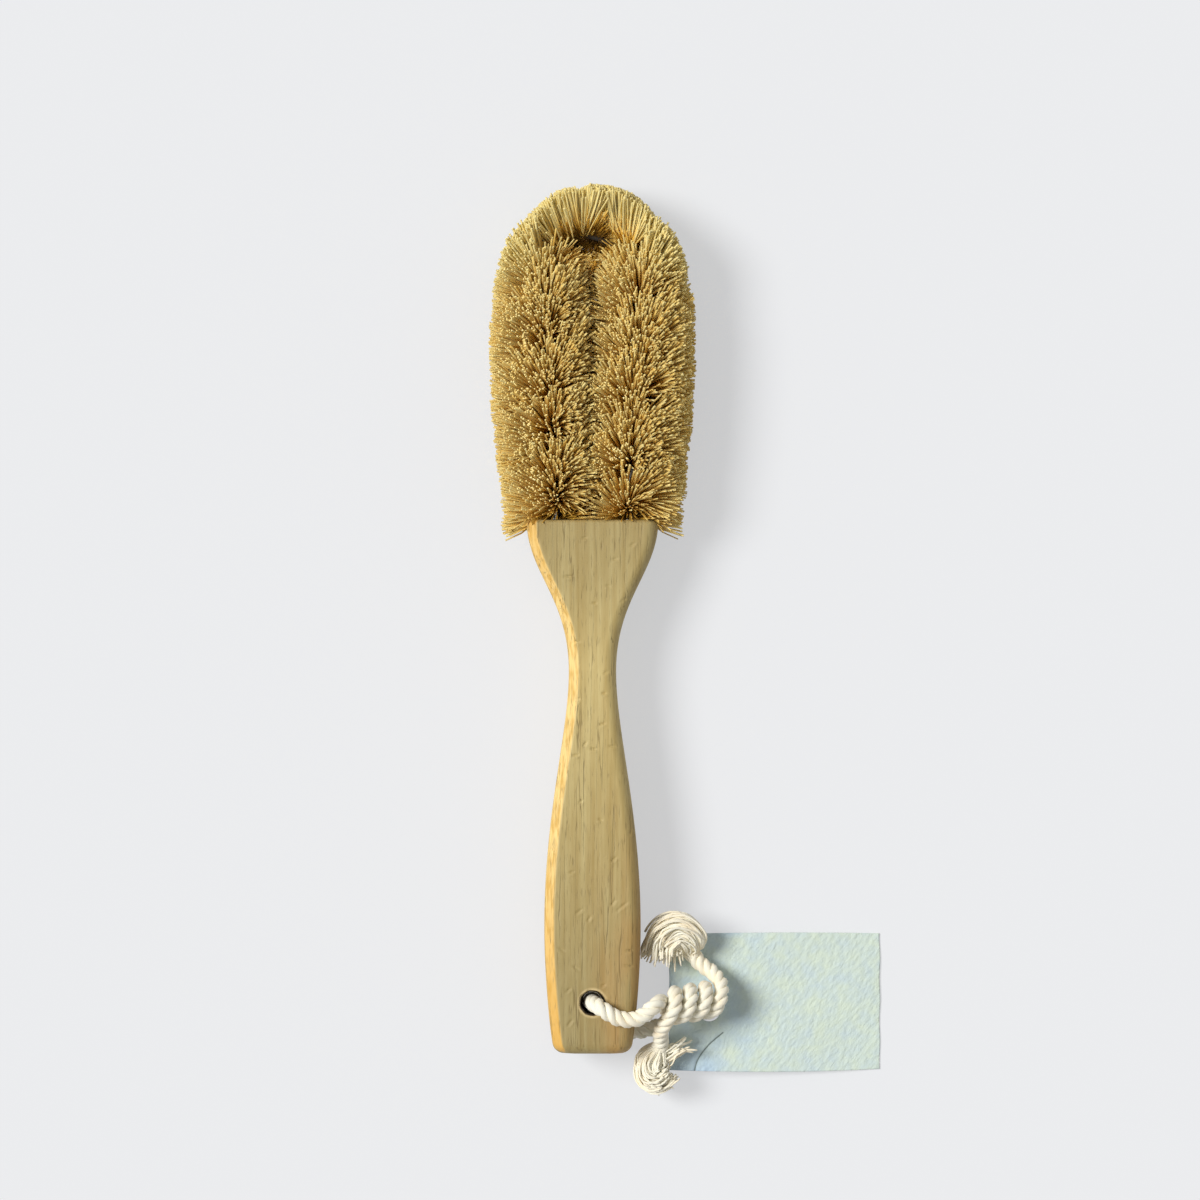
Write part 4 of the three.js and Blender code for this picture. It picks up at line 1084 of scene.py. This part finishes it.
# %% Fibre tree: reach
CHANCE_CUT, RIDGE_CUT, BEND_FULLER = -1.5 * MM, -0.4 * MM, 0.18
WOOD_CUT, WOOD_CUT_END = 9 * MM, 6 * MM
INWARD_LEAST, HOLLOW_INWARD, CROSSING = 0.001, 0.85, (0.82, 1.22)
shorter = put(MATH, [length_draw, 2.0], "POWER")
trimmed = put(MATH, [shorter, CHANCE_CUT, read["trim"]], "MULTIPLY_ADD")
fallen = put(MATH, [off_ridge, off_ridge], "MULTIPLY")
trimmed = put(MATH, [fallen, RIDGE_CUT, trimmed], "MULTIPLY_ADD")
half_height = put(MATH, [put(MATH, [rise, rise], "MULTIPLY"), 0.5], "SUBTRACT")
half_height = put(MATH, [half_height], "ABSOLUTE")
fuller = put(RANGE, [half_height, 0.0, 0.5, BEND_FULLER, 0.0])
fuller = put(MATH, [fuller, read["bend"], 1.0], "MULTIPLY_ADD")
trimmed = put(MATH, [trimmed, fuller], "MULTIPLY")
wood_cut = put(RANGE, [read["from_wood"], 0.0, WOOD_CUT_END, WOOD_CUT, 0.0])
wood_cut = put(MATH, [wood_cut, rising], "MULTIPLY")
trimmed = put(MATH, [trimmed, wood_cut], "SUBTRACT")
groove = put(MATH, [read["groove"], rise], "MULTIPLY")
room = put(MATH, [read["room"], groove], "SUBTRACT")
inward = put(VECTOR, [direction, outward], "DOT_PRODUCT")
inward = put(MATH, [inward, -1.0], "MULTIPLY")
hollow = put(MATH, [cosine, 0.0], "LESS_THAN")
hollow = put(MATH, [hollow, read["hollow"]], "MULTIPLY")
hollow = put(RANGE, [hollow, 0.0, 1.0, INWARD_LEAST, HOLLOW_INWARD])
inward = put(MATH, [inward, hollow], "MAXIMUM")
crowded = put(MATH, [room, inward], "DIVIDE")
crowded = put(MATH, [crowded, put(RANGE, [jitter, 0.0, 1.0, *CROSSING])], "MULTIPLY")
reach = put(MATH, [trimmed, crowded], "MINIMUM")
direction = put(VECTOR, [direction, reach], "SCALE")
direction = put(VECTOR, [direction, put(VECTOR, [middle, root], "SUBTRACT")], "ADD")
reach = put(VECTOR, [direction], "LENGTH")
print("tree:", len(grow.nodes), "nodes with the reach")

# %% [markdown]
# ## Stems on the points
#
# Seven slightly bent stems stand for all fibres, each only a three-sided tube of twenty triangles,
# because thousands of them are placed. Instances keep the tree light until Realize Instances makes them
# one mesh, as the export needs. Real coir is about a third of a millimetre thick. It is drawn nearly
# twice as thick and with fewer fibres, which covers as well, shows each stroke and saves triangles.

# %% Fibre tree: stems
# Each stem's bend at its middle and tip, as shares of its length, and its girth.
STEM_BENDS = ((0.01, 0.01, 0.9), (0.04, 0.02, 1.0), (0.05, 0.07, 1.1), (-0.03, 0.05, 0.8),
              (0.07, 0.03, 1.2), (0.02, 0.1, 1.0), (-0.01, 0.04, 0.7))
STEM_MIDDLE, STEM_PIECES, STEM_SIDES = 0.55, 3, 3
turned = put("FunctionNodeAlignRotationToVector", {"Vector": direction}, axis="Z")
about = put("FunctionNodeAxisAngleToRotation", {"Axis": (0, 0, 1), "Angle": spin})
turned = put("FunctionNodeRotateRotation", {"Rotation": turned, "Rotate By": about}, rotation_space="LOCAL")
placed = put("GeometryNodeSetPosition", {"Geometry": points, "Position": root})
kinds = []
for bend_middle, bend_tip, girth in STEM_BENDS:
    stem = put("GeometryNodeCurveQuadraticBezier", {
        "Resolution": STEM_PIECES, "Start": (0, 0, 0), "Middle": (bend_middle, 0, STEM_MIDDLE),
        "End": (bend_tip, 0, 1)})
    part = put("GeometryNodeSplineParameter", out="Factor")
    stem = put("GeometryNodeStoreNamedAttribute", {"Geometry": stem, "Name": "along", "Value": part},
               data_type="FLOAT", domain="POINT")
    radius = put(MATH, [given["Thickness"], girth / (2 * COIR_REACH * MM)], "MULTIPLY")
    around = put("GeometryNodeCurvePrimitiveCircle", {"Resolution": STEM_SIDES, "Radius": radius})
    stem = put("GeometryNodeCurveToMesh", {"Curve": stem, "Profile Curve": around, "Fill Caps": True})
    kinds.append(put("GeometryNodeGeometryToInstance", {"Geometry": stem}))
every_kind = put("GeometryNodeJoinGeometry")
for kind in kinds:
    grow.links.new(kind, every_kind.node.inputs[0])
pick = {"Min": 0, "Max": len(kinds) - 1, "Seed": given["Seed"]}
pick = put("FunctionNodeRandomValue", pick, data_type="INT")
fibres = put("GeometryNodeInstanceOnPoints", {
    "Points": placed, "Instance": every_kind, "Pick Instance": True, "Instance Index": pick,
    "Rotation": turned, "Scale": reach})
print("tree:", len(grow.nodes), "nodes with", len(kinds), "stems")

# %% [markdown]
# ## Tones, table and wood
#
# Each fibre's tone and growth are stored for the finish: a tone above one is painted sunlight on the
# bend's outer fibres, and short growth paints shade on the fibres of the groove and the hollow. After the
# instances are made real, points that would lie under the table are put on it, as bristles are pressed
# flat, and points that would lie in the wood are put before its end. A Boolean would cut them, but it
# would take minutes on so many tubes.

# %% Fibre tree: finish
OUTER_FROM, OUTER_TO, OUTER_PAINTED_LIGHT, FULL_GROWN = -0.4, 0.2, 1.5, 0.85 * COIR_REACH * MM
FACE_MARGIN, END_MARGIN = 0.3, 0.05
TABLE_Z, WOOD_SIDE, WOOD_THICK = 0.02 * MM, 20 * MM, (HALF_THICK + FACE_MARGIN) * MM
WOOD_END = (HANDLE_TOP_Y + END_MARGIN) * MM
# Painted sunlight on the bend's outer fibres: their tone is raised above one.
outer_painted_light = put(RANGE, [cosine, OUTER_FROM, OUTER_TO, 0.0, OUTER_PAINTED_LIGHT])
tone = put(MATH, [tone_draw, put(MATH, [read["bend"], outer_painted_light], "MULTIPLY")], "ADD")
# Short fibres get a low value here, which paints them dark with shade in the groove and the hollow.
grown = put(MATH, [reach, FULL_GROWN], "DIVIDE", use_clamp=True)
grown = put(MATH, [grown, 2.0], "POWER")
for name, value in (("tone", tone), ("grown", grown)):
    fibres = put("GeometryNodeStoreNamedAttribute", {"Geometry": fibres, "Name": name, "Value": value},
                 data_type="FLOAT", domain="INSTANCE")
fibres = put("GeometryNodeRealizeInstances", {"Geometry": fibres})
at = put(PART_XYZ, [put("GeometryNodeInputPosition")]).node.outputs
on_table = put(MATH, [at["Z"], TABLE_Z], "MAXIMUM")
beside = put(MATH, [put(MATH, [at["X"]], "ABSOLUTE"), WOOD_SIDE], "LESS_THAN")
off_axis = put(MATH, [put(MATH, [at["Z"], AXIS_Z * MM], "SUBTRACT")], "ABSOLUTE")
level = put(MATH, [off_axis, WOOD_THICK], "LESS_THAN")
in_wood = put(MATH, [beside, level], "MULTIPLY")
off_wood = put(MATH, [at["Y"], WOOD_END], "MAXIMUM")
new_y = put(MIX, [in_wood, at["Y"], off_wood], data_type="FLOAT")
where = put(JOIN_XYZ, [at["X"], new_y, on_table])
fibres = put("GeometryNodeSetPosition", {"Geometry": fibres, "Position": where})
fibres = put("GeometryNodeSetMaterial", {"Geometry": fibres, "Material": coir})
put("NodeGroupOutput", [fibres])
print("tree:", len(grow.nodes), "nodes")

# %% [markdown]
# ## Three stretches of fibre
#
# The real coir is one long bundle. It could be one piece here too, but that would be a very large mesh, so
# it is kept in three, as in the CAD model: two legs and the bend. They share one tree, and each has its own
# number of fibres and its own seed. Once grown, each becomes a plain mesh.

# %% Grow the three stretches
# Each stretch's node in the CAD model, with its number of fibres and its seed.
FIBRES = {"coir_left_leg": (8000, 11), "coir_bend": (9600, 23), "coir_right_leg": (8000, 37)}
FIBRE_THICKNESS, GATHER, LEAN = 0.6, 0.7, 0.55
for piece, (node, (count, seed)) in zip(stretches, FIBRES.items()):
    growth = piece.modifiers.new("fibres", "NODES")
    growth.node_group = grow
    for name, value in (("Fibres", count), ("Seed", seed), ("Thickness", FIBRE_THICKNESS * MM),
                        ("Gather", GATHER), ("Lean", LEAN)):
        growth[sockets[name]] = value
    settle(piece)
    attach(piece, "brush")
    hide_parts(node)
    print(piece.name, triangles(piece), "triangles")

# %% [markdown]
# ## Table and light
#
# The brush lies on a pale grey table, lit softly from the upper left, so that its shadow falls to the
# right. The lamp and the sky together light a white card to about white, so colours render as they are
# written. Where the camera sees the table it glows a little, which lifts it to the photograph's even grey
# without lighting the brush from below. The glow fades out under the cord hole, so that the hole stays
# dark.

# %% Table
TABLE_GLOW, GLOW_FROM, GLOW_TO, TABLE_SIZE = 0.6, 6 * MM, 9 * MM, 6
table_paint, shader, put = new_material("pale_table", roughness=0.9)
fill(shader, {"Base Color": colour("#e9eaec")})
seen = put("ShaderNodeLightPath", out="Is Camera Ray")
under_hole = put(VECTOR, [put("ShaderNodeTexCoord", out="Object"), (0, CORD_HOLE_Y * MM, 0)], "DISTANCE")
seen = put(MATH, [seen, put(RANGE, [under_hole, GLOW_FROM, GLOW_TO, 0.0, TABLE_GLOW])], "MULTIPLY")
glow = put("ShaderNodeEmission", {"Color": colour("#ecedef")})
surface = put("ShaderNodeMixShader", [seen, shader.outputs[0], glow])
fill(table_paint.node_tree.nodes["Material Output"], {"Surface": surface})
bpy.ops.mesh.primitive_plane_add(size=TABLE_SIZE, location=(0, 0, 0))
table_top = bpy.context.object
table_top.name = "pale_table"
table_top.data.materials.append(table_paint)
print("made", table_paint.name)

# %% Light
SUN_STRENGTH, SUN_WIDTH, SUN_TURN, SKY_STRENGTH = 2.8, 24, (-10, -38, 0), 0.32
sun_data = bpy.data.lights.new("window", "SUN")
sun_data.energy, sun_data.angle = SUN_STRENGTH, math.radians(SUN_WIDTH)
sun = bpy.data.objects.new("window", sun_data)
sun.rotation_euler = [math.radians(turn) for turn in SUN_TURN]
bpy.context.collection.objects.link(sun)
world = bpy.data.worlds.new("soft_room")
bpy.context.scene.world = world
world.use_nodes = True
fill(world.node_tree.nodes["Background"], {"Color": (1, 1, 1, 1), "Strength": SKY_STRENGTH})
bpy.context.scene.view_settings.view_transform = "Standard"
print("sun", SUN_STRENGTH, "and sky", SKY_STRENGTH)
